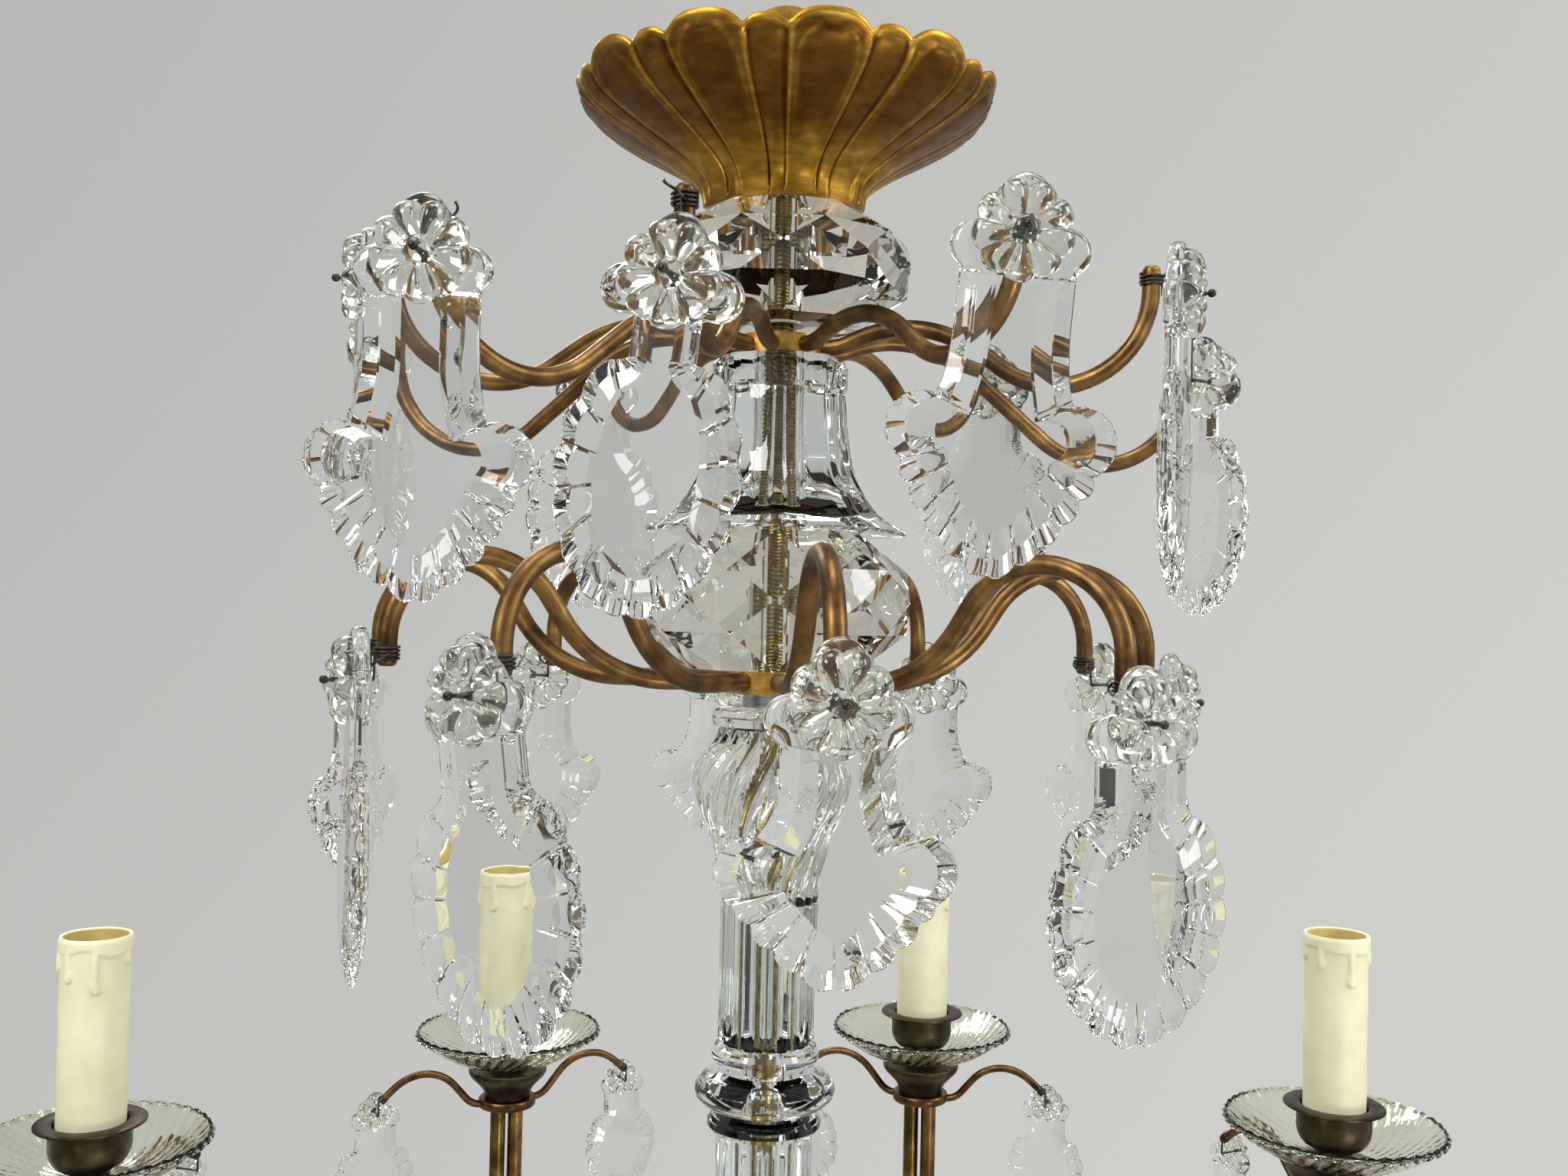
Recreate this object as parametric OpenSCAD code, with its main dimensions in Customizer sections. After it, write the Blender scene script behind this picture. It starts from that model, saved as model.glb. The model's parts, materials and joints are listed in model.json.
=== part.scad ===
// Crystal chandelier: a stack of cut glass on a threaded stem, two tiers of pendant arms
// and a ring of candle arms. Origin at the centre of the suspension eye, +Z up.

/* [Suspension] */
// Bore of the suspension eye
eye_bore = 18; // [12:1:22]
// Wall of the eye around its bore
eye_wall = 6; // [4.5:0.5:8]
// Length of the eye's bore
eye_w = 8; // [6:0.5:12]
// Height of the shank that lifts the eye clear of the petal tips
eye_shank = 36; // [34:0.5:60]
// Diameter of the threaded stem
stem_d = 8; // [6:0.5:9]

/* [Canopy] */
// Overall diameter of the petal canopy at its rim
canopy_d = 138; // [120:1:150]
// Diameter of the canopy's floor
canopy_base_d = 54; // [46:1:60]
// Height of the canopy from its floor to the petal tips
canopy_h = 42; // [34:1:50]
// Thickness of the canopy's sheet
canopy_t = 2; // [1.6:0.1:3]
// Number of large petals
petals = 11; // [9:1:13]

/* [Upper glass] */
// Diameter of the upper cut ball
upper_ball_d = 86; // [76:1:96]
// Height of the upper cut ball
upper_ball_h = 36; // [30:1:44]
// Stem left bare under the upper ball
stem_show = 4.4; // [3:0.2:8]
// Height of the fluted bell column
bell_h = 56.6; // [48:0.2:66]
// Diameter of the bell column at its top
bell_top_d = 43; // [38:1:48]
// Diameter of the bell column's flared foot
bell_foot_d = 85; // [76:1:92]
// Diameter of the lower cut ball
lower_ball_d = 90; // [80:1:98]
// Height of the lower cut ball
lower_ball_h = 44; // [36:1:50]

/* [Upper tier] */
// Diameter of the upper arms' hub
upper_hub_d = 30; // [29:0.5:34]
// Height of the upper arms' hub
upper_hub_h = 7; // [6.8:0.1:9]
// Diameter of an upper arm's rod
upper_rod_d = 5.4; // [4.6:0.1:5.8]
// Height of the upper arm tips above their hub's middle
upper_tip_rise = 20; // [16:0.5:30]

/* [Lower tier] */
// Diameter of the lower arms' hub
lower_hub_d = 34; // [33:0.5:38]
// Height of the lower arms' hub
lower_hub_h = 7.6; // [7.4:0.1:9]
// Diameter of a lower arm's rod
lower_rod_d = 6; // [5:0.1:6.4]

/* [Stem glass] */
// Diameter of the steel neck collar
neck_d = 20; // [16:0.5:24]
// Height of the steel neck collar
neck_h = 4.6; // [3:0.2:8]
// Diameter of the baluster at its widest
baluster_d = 51.4; // [46:0.2:58]
// Height of the swirl baluster under its cap
baluster_h = 55; // [46:1:64]
// Diameter of the baluster's cap
baluster_cap_d = 39.5; // [34:0.5:44]
// Height of the baluster's cap
baluster_cap_h = 7.2; // [5:0.2:10]
// Diameter of the fluted columns
column_d = 31; // [26:0.5:34]
// Height of the upper fluted column
upper_column_h = 46; // [36:1:60]
// Diameter of the ring between the columns
ring_d = 45.4; // [40:0.2:52]
// Height of the ring between the columns
ring_h = 28; // [22:1:34]
// Height of the lower fluted column
lower_column_h = 64.6; // [50:0.2:80]

/* [Candle arms] */
// Number of candles
candles = 8; // [6:2:8]
// Distance of each candle from the stem
candle_reach = 264; // [240:2:300]
// Diameter of the candle arms' twin rods
candle_rod_d = 7.2; // [6:0.1:7.4]
// Spacing of the twin rods
twin_gap = 8.6; // [8.2:0.1:9]
// Depth of the arms' sweep under the candle plates
arm_sweep = 125; // [110:1:150]
// Diameter of the candle arms' hub
arm_hub_d = 60; // [58:1:68]
// Height of the candle arms' hub
arm_hub_h = 16; // [14:0.5:20]
// Wire diameter of the drop hooks
hook_d = 3.4; // [2.6:0.1:3.8]

/* [Candles] */
// Diameter of a bobeche at its rim
bobeche_d = 88; // [80:1:96]
// Depth of a bobeche
bobeche_h = 18; // [15:0.5:22]
// Thickness of a bobeche's glass
bobeche_t = 2.6; // [2:0.1:3.4]
// Height of the seat under a bobeche
seat_h = 14; // [10:0.5:20]
// Outer diameter of a candle sleeve
sleeve_d = 26; // [25.4:0.1:27]
// Bore of a candle sleeve
sleeve_bore = 22.6; // [22.2:0.1:23]
// Height of a candle sleeve
sleeve_h = 79; // [66:1:100]
// Diameter of the lampholder's screw shell
lamp_bore = 14; // [13.6:0.1:14.6]
// Depth of the lampholder's screw shell
lamp_depth = 26; // [20:1:30]
// Diameter of a candle cup's flange
cup_flange_d = 40; // [34:0.5:46]

/* [Crystal] */
// Thickness of a pendant plaque's panel
plaque_t = 7; // [6:0.2:9]
// Thickness of a pendant plaque's rim
plaque_rim_t = 4; // [3:0.2:5]
// Diameter of a rosette
rosette_d = 27; // [24:0.5:30]
// Thickness of a rosette
rosette_t = 6; // [5:0.2:7]
// Size of the candle drops against the large pendants
drop_scale = 0.62; // [0.5:0.02:0.7]
// Diameter of the tie wire
wire_d = 1; // [0.8:0.05:1.2]
// Diameter of the bottom cut ball
bottom_ball_d = 76; // [66:1:84]
// Height of the bottom cut ball
bottom_ball_h = 62; // [52:1:70]

/* [Hidden] */
$fn = 48;

// Each row is one upper arm: azimuth from the front, reach, curl radius, pin below tie,
// then how far its pendant turns from facing outwards, and leans.
upper_rows = [
    [-12, 118, 28, 21, 0, -7], [33, 113, 26, 3, -34, -5], [69, 118, 28, 5, 0, 0],
    [105, 148, 34, 16, 10, 0], [141, 122, 30, 10, 0, 0], [178, 122, 30, 8, 0, 0],
    [214, 122, 30, 12, 0, 0], [250, 146, 34, 8, 0, 0], [284, 122, 30, 3, 0, 0],
    [316, 132, 32, 12, 42, 0]
];
// Each row is one lower arm: azimuth, reach, tip below the hub's middle, pin below tie,
// then its pendant's turn and lean.
lower_rows = [
    [7, 122, 0, 3, 0, 0], [57, 118, 1, 9, -34, 0], [88, 120, 0, 8, 0, 0],
    [119, 131, -2, 8, 0, 0], [152, 122, 2, 6, 0, 0], [189, 122, 0, 7, 0, 0],
    [224, 122, 0, 8, 0, 0], [257, 140, -14, 12, 0, 0], [290, 122, -4, 8, 0, 0],
    [325, 122, -8, 8, 0, 9]
];
// Each row is one plaque outline: width, length under the pin, waist, scallops, their radius,
// side lobe radius, angle of the highest scallop.
styles = [
    [60, 90, 30, 14, 5, 0, 32],
    [48, 84, 17, 14, 4, 0, 40],
    [59, 69, 28, 8, 5.4, 8.5, -22]
];
upper_style = [1, 0, 0, 1, 0, 0, 0, 1, 0, 0];
lower_style = [2, 0, 0, 2, 2, 2, 2, 2, 0, 0];

fit = 0.1;
slack = 0.3;
stem_bore = stem_d + 1;
first_candle = 28;

// Heights down the stem.
z_floor = -(eye_bore / 2 + eye_wall + eye_shank);
z_ball = z_floor - canopy_t;
z_stem_top = -(eye_bore / 2 + eye_wall / 2);
z_show = z_ball - upper_ball_h;
z_upper_hub = z_show - stem_show;
z_bell = z_upper_hub - upper_hub_h;
z_lower_ball = z_bell - bell_h;
z_lower_hub = z_lower_ball - lower_ball_h;
z_neck = z_lower_hub - lower_hub_h;
z_baluster = z_neck - neck_h;
z_upper_column = z_baluster - baluster_cap_h - baluster_h;
z_ring = z_upper_column - upper_column_h;
z_lower_column = z_ring - ring_h;
z_arm_hub = z_lower_column - lower_column_h;
z_arm_mid = z_arm_hub - arm_hub_h / 2;
hub_collar_h = 7;
z_bottom_ball = z_arm_hub - arm_hub_h - hub_collar_h;
z_finial = z_bottom_ball - bottom_ball_h;
finial_h = 18;

// Heights at a candle.
stud_d = 9.5;
plate_d = 27;
plate_h = 4;
seat_top_d = 37;
z_plate = z_arm_mid + 4;
z_seat = z_plate;
z_bobeche = z_seat + seat_h;
foot_d = 16;
cup_foot_h = 6.5;
cup_floor_h = 7;
cup_h = 23;
cup_wall = 1.4;
z_cup = z_bobeche + bobeche_t;
z_cup_floor = z_cup + cup_foot_h + cup_floor_h;
z_cup_rim = z_cup + cup_h;
lamp_h = sleeve_h - 7;
lamp_d = sleeve_bore - 2 * slack;

// Pendants: the plaque's rim and the rosette lie in front of the tie's winding.
pin_d = 1.2;
pin_bore = 1.6;
plaque_back = wire_d + 0.6;
rim_back = (plaque_t - plaque_rim_t) / 2;
rosette_back = rim_back + plaque_rim_t + slack;
pin_len = plaque_back + rosette_back + rosette_t + 0.4;
tie_turns = 2;
tie_pitch = wire_d + 0.6;
tie_steps = 9;
tie_up = 4;

upper_names = [for (k = [1 : len(upper_rows)]) str("upper_pendant_", k)];
lower_names = [for (k = [1 : len(lower_rows)]) str("lower_pendant_", k)];
drop_names = [for (k = [1 : 2 * candles]) str("candle_drop_", k)];

// Turns a piece drawn along +X to an azimuth counted from the front, -Y.
module radially(azimuth) {
    rotate([0, 0, azimuth - 90]) children();
}

module at_candle(k) {
    radially(first_candle + k * 360 / candles) translate([candle_reach, 0, 0]) children();
}

module above(z) {
    translate([0, 0, z]) children();
}

function polar(r, a) = [r * cos(a), r * sin(a)];
function smooth(t) = let (c = max(0, min(1, t))) c * c * (3 - 2 * c);

// Closed skin over rings of equal length, from the first ring's cap to the last one's.
function skin_faces(n, m) = concat(
    [[for (i = [0 : n - 1]) i]],
    [for (j = [0 : m - 2], i = [0 : n - 1]) each let (
        a = j * n + i, b = j * n + (i + 1) % n, c = a + n, d = b + n
    ) [[a, c, b], [b, c, d]]],
    [[for (i = [n - 1 : -1 : 0]) (m - 1) * n + i]]
);
module skin(rings) {
    polyhedron([for (r = rings) each r], skin_faces(len(rings[0]), len(rings)), convexity = 8);
}

// Rods are bent in the XZ plane. A path is a list of steps from a point and a heading:
// [length] runs straight, [radius, turn] bends by turn degrees, up if positive.
function step_end(s, at) = len(s) == 1
    ? [at[0] + s[0] * cos(at[2]), at[1] + s[0] * sin(at[2]), at[2]]
    : let (g = sign(s[1]), h = at[2], e = h + s[1], r = s[0] * g)
      [at[0] + r * (sin(e) - sin(h)), at[1] + r * (cos(h) - cos(e)), e];
function path_at(steps, at, k) = k == 0 ? at : step_end(steps[k - 1], path_at(steps, at, k - 1));

// Each joint of a rod is a brazed collar a hair wider than the rod.
joint_trim = 0.2;
joint_proud = 0.16;

module rod(steps, at, d) {
    for (k = [0 : len(steps) - 1]) {
        p = path_at(steps, at, k);
        s = steps[k];
        first = k == 0 ? 0 : joint_trim;
        last = k == len(steps) - 1 ? 0 : joint_trim;
        translate([p[0], 0, p[1]]) rotate([0, -p[2], 0]) {
            if (k > 0) rotate([0, 90, 0])
                cylinder(d = d + joint_proud, h = 3 * joint_trim, center = true);
            if (len(s) == 1) {
                translate([first, 0, 0]) rotate([0, 90, 0]) cylinder(d = d, h = s[0] - first - last);
            } else {
                up = s[1] > 0;
                turn = abs(s[1]) - (first + last) / s[0] * 180 / PI;
                from = (up ? -90 : 90 + s[1]) + (up ? first : last) / s[0] * 180 / PI;
                translate([0, 0, up ? s[0] : -s[0]]) rotate([90, 0, 0]) rotate([0, 0, from])
                    rotate_extrude(angle = turn) translate([s[0], 0]) circle(d = d);
            }
        }
    }
}

// Suspension and stem

module suspension_eye() {
    color("goldenrod") difference() {
        union() {
            rotate([90, 0, 0]) cylinder(d = eye_bore + 2 * eye_wall, h = eye_w, center = true);
            above(z_floor) cylinder(d = stem_d + 8, h = eye_shank + eye_wall / 2);
        }
        rotate([90, 0, 0]) cylinder(d = eye_bore, h = eye_w + 2, center = true);
        above(z_floor - 1) cylinder(d = stem_d + fit, h = z_stem_top - z_floor + 1);
    }
}

module stem_rod() {
    z_end = z_finial - finial_h * 0.6;
    color("darkkhaki") above(z_end) cylinder(d = stem_d, h = z_stem_top - fit - z_end);
}

nut_d = 15;
nut_h = 4;

module stem_nut(z, d, h) {
    above(z) difference() {
        cylinder(d = d, h = h);
        above(-1) cylinder(d = stem_d + fit, h = h + 2);
    }
}

module stem_nuts() {
    color("lightslategray") {
        stem_nut(z_show, nut_d, nut_h);
        stem_nut(z_lower_hub, nut_d, nut_h);
        stem_nut(z_baluster, neck_d, neck_h);
        stem_nut(z_bottom_ball, arm_hub_d / 2, hub_collar_h);
    }
}

// Canopy

petal_step = 360 / petals;
canopy_samples = 10 * petals;
canopy_rings = 6;
petal_drop = 0.16;
petal_bulge = 1.4;
first_petal = 11;

function petal_off(a) = let (m = (a - first_petal) / petal_step) abs(m - round(m)) * petal_step;
function petal_tip(a) = let (d = petal_off(a), e = petal_step / 2 - d) max(
    1 - petal_drop * pow(d / (petal_step * 0.37), 3),
    0.95 - petal_drop * pow(e / (petal_step * 0.24), 3)
);
function petal_relief(a) = let (d = petal_off(a), s = petal_step * 0.33)
    petal_bulge * (d < s ? 1 - pow(d / s, 2) : 0.6 - 0.6 * pow((petal_step / 2 - d) / (petal_step / 2 - s), 2));
function canopy_radius(t) = let (rim = canopy_d / 2 - petal_bulge, base = canopy_base_d / 2)
    base + (rim - base) * (0.18 * t + 0.82 * smooth((t - 0.1) / 0.72));
function canopy_ring(t, inset, lift) = [for (i = [0 : canopy_samples - 1]) let (
    a = i * 360 / canopy_samples, u = t * petal_tip(a),
    r = canopy_radius(u) + petal_relief(a) * smooth(t * 3) - inset
) [r * cos(a - 90), r * sin(a - 90), z_ball + u * canopy_h + lift * (1 - t)]];

module petal_canopy() {
    color("darkgoldenrod") difference() {
        skin(concat(
            [for (j = [0 : canopy_rings]) canopy_ring(j / canopy_rings, 0, 0)],
            [for (j = [canopy_rings : -1 : 0]) canopy_ring(j / canopy_rings, canopy_t, canopy_t)]
        ));
        above(z_ball - 1) cylinder(d = stem_bore, h = canopy_t + 2);
    }
}

// Cut glass balls

ball_facets = 10;

function ball_ring(r, z, turn) = [for (i = [0 : ball_facets - 1])
    [each polar(r, (i + turn / 2) * 360 / ball_facets), z]];

module cut_ball(d, h, recess) {
    table = d * 0.27;
    belt = d * 0.455;
    color("lightcyan") difference() {
        skin([
            ball_ring(table, 0, 0), ball_ring(belt, h * 0.24, 1), ball_ring(d / 2, h / 2, 2),
            ball_ring(belt, h * 0.76, 3), ball_ring(table, h, 4)
        ]);
        above(-1) cylinder(d = stem_bore, h = h + 2);
        if (recess > 0) above(-1) cylinder(d = recess, h = nut_h + 1);
    }
}

module upper_ball() {
    above(z_show) cut_ball(upper_ball_d, upper_ball_h, nut_d + slack);
}

module lower_ball() {
    above(z_lower_hub) cut_ball(lower_ball_d, lower_ball_h, nut_d + slack);
}

module bottom_ball() {
    above(z_finial) cut_ball(bottom_ball_d, bottom_ball_h, 0);
}

// Bell column, baluster and fluted columns

bell_flutes = 8;
bell_samples = 6 * bell_flutes;
bell_band = 10;

// Each row is a share of the flare from the top radius to the foot, and a share of the height.
bell_rows = [[1, 0], [0.96, 0.035], [0.58, 0.1], [0.34, 0.22], [0.16, 0.36], [0.07, 0.53], [0, 0.82]];
function bell_radius(a, r) = r * (1 - 0.045 * (1 - cos(bell_flutes * a)));
function bell_ring(r, z) = [for (i = [0 : bell_samples - 1]) let (a = i * 360 / bell_samples)
    [each polar(bell_radius(a, r), a), z]];

module bell_column() {
    top = bell_top_d / 2;
    foot = bell_foot_d / 2;
    color("lightcyan") above(z_lower_ball) difference() {
        skin(concat(
            [for (row = bell_rows) bell_ring(top + (foot - top) * row[0], row[1] * bell_h)],
            [bell_ring(top + 0.6, bell_h - bell_band), bell_ring(top + 0.6, bell_h)]
        ));
        above(-1) cylinder(d = stem_d + 3, h = bell_h + 2);
    }
}

ribs = 12;
rib_samples = 6 * ribs;
rib_twist = 42;
// Each row is a share of the widest radius, and a share of the height from the bottom.
baluster_rows = [
    [0.6, 0], [0.62, 0.1], [0.69, 0.24], [0.78, 0.38], [0.9, 0.52], [0.99, 0.66],
    [0.98, 0.76], [0.86, 0.87], [0.7, 0.95], [0.66, 1]
];
function rib_ring(r, t) = [for (i = [0 : rib_samples - 1]) let (a = i * 360 / rib_samples)
    [each polar(r * (0.965 + 0.035 * cos(ribs * a)), a + rib_twist * t), t * baluster_h]];

module baluster() {
    color("lightcyan") above(z_upper_column) difference() {
        union() {
            skin([for (row = baluster_rows) rib_ring(row[0] * baluster_d / 2, row[1])]);
            above(baluster_h - 0.5) cylinder(d = baluster_cap_d, h = baluster_cap_h + 0.5);
        }
        above(-1) cylinder(d = stem_bore, h = baluster_h + baluster_cap_h + 2);
    }
}

flutes = 10;

module fluted_column(h) {
    linear_extrude(h) difference() {
        circle(d = column_d);
        for (k = [0 : flutes - 1]) rotate(k * 360 / flutes)
            translate([column_d / 2 + 2.2, 0]) circle(r = 3.6);
        circle(d = stem_bore);
    }
}

module column_ring() {
    r = ring_d / 2;
    bead = ring_h * 0.23;
    rotate_extrude() difference() {
        union() {
            square([column_d / 2 + 3, ring_h * 0.21]);
            translate([0, ring_h * 0.68]) square([column_d / 2 + 2, ring_h * 0.32]);
            translate([0, ring_h * 0.21]) square([r - bead, ring_h * 0.47]);
            translate([r - bead, ring_h * 0.445]) circle(r = bead);
        }
        translate([-1, -1]) square([stem_bore / 2 + 1, ring_h + 2]);
    }
}

module glass_columns() {
    color("lightcyan") {
        above(z_ring) fluted_column(upper_column_h);
        above(z_lower_column) column_ring();
        above(z_arm_hub) fluted_column(lower_column_h);
    }
}

// Pendant arms

hub_seat = 3.5;
upper_hump = 40;
upper_fall = 38;
lower_curl = 26;
lower_run = 86.1;

function upper_start() = [upper_hub_d / 2 - hub_seat, z_bell + upper_hub_h / 2, 0];
function upper_tip_z() = upper_start()[1] + upper_tip_rise;
function upper_bends(reach, curl, slope) = [
    [6], [15, 25], [upper_hump, -25 - upper_fall], [slope], [curl, 90 + upper_fall]
];
function upper_slope(reach, curl) = let (
    e = path_at(upper_bends(reach, curl, 0), upper_start(), 5)
) max(0.5, (reach - e[0]) / cos(upper_fall));
function upper_steps(reach, curl) = let (
    bends = upper_bends(reach, curl, upper_slope(reach, curl)),
    e = path_at(bends, upper_start(), 5)
) concat(bends, [[max(6, upper_tip_z() - e[1])]]);
function upper_tip(reach, curl) = path_at(upper_steps(reach, curl), upper_start(), 6);

lower_seat = 4.5;
lower_peak = 8;
function lower_start() = [lower_hub_d / 2 - lower_seat, z_neck + lower_hub_h / 2, 0];
function lower_bends(reach) = [
    [reach - lower_run - lower_start()[0]], [40, 58], [lower_peak], [lower_curl, -148]
];
function lower_steps(reach, tip) = let (
    e = path_at(lower_bends(reach), lower_start(), 4), z = lower_start()[1] - tip
) concat(lower_bends(reach), [[max(8, e[1] - z)]]);
function lower_tip(reach, tip) = path_at(lower_steps(reach, tip), lower_start(), 5);

module arm_disc(d, h, rod_d, start, rows) {
    difference() {
        cylinder(d = d, h = h);
        above(-1) cylinder(d = stem_d + fit, h = h + 2);
        for (row = rows) radially(row[0]) translate([start, 0, h / 2])
            rotate([0, 90, 0]) cylinder(d = rod_d + fit, h = d);
    }
}

module upper_hub() {
    color("goldenrod") above(z_bell)
        arm_disc(upper_hub_d, upper_hub_h, upper_rod_d, upper_start()[0], upper_rows);
}

module lower_hub() {
    color("goldenrod") above(z_neck)
        arm_disc(lower_hub_d, lower_hub_h, lower_rod_d, lower_start()[0], lower_rows);
}

module upper_arms() {
    color("peru") for (row = upper_rows) radially(row[0])
        rod(upper_steps(row[1], row[2]), upper_start(), upper_rod_d);
}

module lower_arms() {
    color("peru") for (row = lower_rows) radially(row[0])
        rod(lower_steps(row[1], row[2]), lower_start(), lower_rod_d);
}

// Crystal pendants, drawn with the pin along +X through the origin

function bezier(a, b, c, t) = (1 - t) * (1 - t) * a + 2 * t * (1 - t) * b + t * t * c;

lobe_up = 9;
lobe_side = 12;
lobe_r = 6.8;
neck_top = -8;
panel_top = -15.5;
widest = 0.58;

// Centre and half axes of a plaque's body.
function body_v(s) = -widest * s[1];
function body_a(s) = s[0] / 2 - s[4];
function body_b(s) = (1 - widest) * s[1] - s[4];

module plaque_body(s, inset, top) {
    v = body_v(s);
    a = body_a(s) - inset;
    b = body_b(s) - inset;
    high = max(s[6], 0) + 8;
    waist = [s[2] / 2 - inset / 2, v * 0.42];
    meet = [a * cos(high), v + b * sin(high)];
    shoulder = [for (k = [0 : 6]) bezier(waist, [waist[0], (waist[1] + 2 * meet[1]) / 3], meet, k / 6)];
    low = [for (w = [high - 12 : -12 : -180 - high + 12]) [a * cos(w), v + b * sin(w)]];
    polygon(concat(
        [[-waist[0], top], [waist[0], top]], shoulder, low,
        [for (k = [6 : -1 : 0]) [-shoulder[k][0], shoulder[k][1]]]
    ));
}

module plaque_scallops(s) {
    sweep = 180 + 2 * s[6];
    for (k = [0 : s[3] - 1]) {
        w = s[6] - k * sweep / (s[3] - 1);
        translate([body_a(s) * cos(w), body_v(s) + body_b(s) * sin(w)]) circle(r = s[4]);
    }
}

module trefoil() {
    circle(r = lobe_side - 1);
    translate([0, lobe_up]) circle(r = lobe_r);
    for (side = [-1, 1]) translate([side * lobe_side, -4]) circle(r = lobe_r - 0.6);
}

module plaque(s) {
    rotate([90, 0, 90]) difference() {
        union() {
            above(rim_back) linear_extrude(plaque_rim_t) {
                plaque_body(s, 0, neck_top);
                plaque_scallops(s);
                trefoil();
                if (s[5] > 0) for (side = [-1, 1])
                    translate([side * (s[0] / 2 - s[5]), body_v(s)]) circle(r = s[5]);
            }
            linear_extrude(plaque_t) plaque_body(s, 4, panel_top);
        }
        above(-1) cylinder(d = pin_bore, h = plaque_t + 2);
    }
}

rosette_petals = 9;

module rosette() {
    petal_r = rosette_t * 0.86;
    rotate([0, 90, 0]) difference() {
        intersection() {
            union() {
                for (k = [0 : rosette_petals - 1]) rotate(k * 360 / rosette_petals)
                    translate([rosette_d / 2 - petal_r, 0]) sphere(r = petal_r);
                above(rosette_t * 0.3) sphere(r = rosette_t * 0.7);
            }
            cylinder(d = rosette_d + 2, h = rosette_t + 1);
        }
        above(-1) cylinder(d = pin_bore, h = rosette_t + 2);
    }
}

module crystal(s) {
    color("azure") {
        plaque(s);
        translate([rosette_back, 0, 0]) rosette();
    }
}

// A pendant turns about its rod's tip, which its wire is wound on.
function upper_hang(row) = let (tip = upper_tip(row[1], row[2])) [tip[0], 0, tip[1] - tie_up - row[3]];
function lower_hang(row) = let (tip = lower_tip(row[1], row[2])) [tip[0], 0, tip[1] + tie_up - row[3]];

module at_pin(row, hang, rod_r) {
    radially(row[0]) translate(hang) rotate([0, 0, row[4]]) translate([rod_r, 0, 0]) children();
}

module leaning(row) {
    translate([plaque_back, 0, 0]) rotate([row[5], 0, 0]) children();
}

module upper_pendant(k) {
    row = upper_rows[k];
    at_pin(row, upper_hang(row), upper_rod_d / 2) leaning(row) crystal(styles[upper_style[k]]);
}

module lower_pendant(k) {
    row = lower_rows[k];
    at_pin(row, lower_hang(row), lower_rod_d / 2) leaning(row) crystal(styles[lower_style[k]]);
}

// Tie wires: a winding on the rod's tip, a tail down to the pin, and the pin with its bead

// The tail is a little thinner than the winding, and ends inside it.
tail_d = wire_d - 0.12;
tail_in = 0.2;
tail_turn = 10;

function winding_radius(rod_r) = (rod_r + wire_d / 2 + 0.06) / cos(180 / tie_steps);
function winding_point(rod_r, a) = [each polar(winding_radius(rod_r), a), a / 360 * tie_pitch];
function winding(rod_r) = let (n = tie_turns * tie_steps)
    [for (k = [0 : n]) winding_point(rod_r, (k - n / 2) * 360 / tie_steps)];
function wire_ring(p, a) = [for (i = [0 : 3]) let (w = -i * 90) [
    p[0] + wire_d / 2 * cos(w) * cos(a), p[1] + wire_d / 2 * cos(w) * sin(a), p[2] + wire_d / 2 * sin(w)
]];
function winding_gap(points) = min([for (i = [0 : len(points) - 1], j = [0 : len(points) - 1])
    if (j - i >= tie_steps * 0.7) norm(points[i] - points[j]) - wire_d]);
echo(least_gap_in_winding = winding_gap(winding(lower_rod_d / 2)));

module tie(rod_r, drop) {
    n = tie_turns * tie_steps;
    points = winding(rod_r);
    translate([-rod_r, 0, drop])
        skin([for (k = [0 : n]) wire_ring(points[k], (k - n / 2) * 360 / tie_steps)]);
    x = winding_radius(rod_r) - rod_r;
    translate([x, 0, 0]) rotate(tail_turn) cylinder(d = tail_d, h = drop + tail_in, $fn = 8);
    translate([x, 0, 0]) sphere(d = pin_d, $fn = 24);
    translate([x, 0, 0]) rotate([0, 90, 0]) cylinder(d = pin_d, h = pin_len - x);
    translate([pin_len + 0.9, 0, 0]) sphere(r = 1.3);
}

module pendant_ties() {
    color("dimgray") {
        for (row = upper_rows) at_pin(row, upper_hang(row), upper_rod_d / 2)
            tie(upper_rod_d / 2, row[3]);
        for (row = lower_rows) at_pin(row, lower_hang(row), lower_rod_d / 2)
            tie(lower_rod_d / 2, row[3]);
        for (k = [0 : candles - 1], side = [-1, 1]) at_candle(k) drop_tie(side);
    }
}

// Candle arms

arm_fall = 50;
arm_hump = 22;
arm_rise = 25;
arm_run = 4;
socket_in = 21.5;

function arm_start() = [socket_in + fit, z_arm_mid, 0];
function arm_first() = [
    [arm_hub_d / 2 - socket_in + 2], [12, arm_rise], [arm_hump, -arm_rise - arm_fall]
];
// How far the rod still has to drop after its hump, to hang arm_sweep under the plate.
function arm_drop() = path_at(arm_first(), arm_start(), 3)[1] - (z_plate - plate_h - arm_sweep);
// Both bends have the radius that brings the rod up under the middle of the plate.
function arm_bend() = (
    candle_reach - arm_run - path_at(arm_first(), arm_start(), 3)[0] - arm_drop() / tan(arm_fall)
) / (1 + sin(arm_fall) - (1 - cos(arm_fall)) / tan(arm_fall));
function arm_slope() = (arm_drop() - arm_bend() * (1 - cos(arm_fall))) / sin(arm_fall);
function arm_steps() = let (
    bends = concat(arm_first(), [
        [arm_slope()], [arm_bend(), arm_fall], [arm_run], [arm_bend(), 90]
    ]),
    e = path_at(bends, arm_start(), 7)
) concat(bends, [[z_plate - plate_h - e[1]]]);

module candle_arms() {
    color("peru") for (k = [0 : candles - 1], side = [-1, 1])
        radially(first_candle + k * 360 / candles) translate([0, side * twin_gap / 2, 0])
            rod(arm_steps(), arm_start(), candle_rod_d);
}

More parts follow.
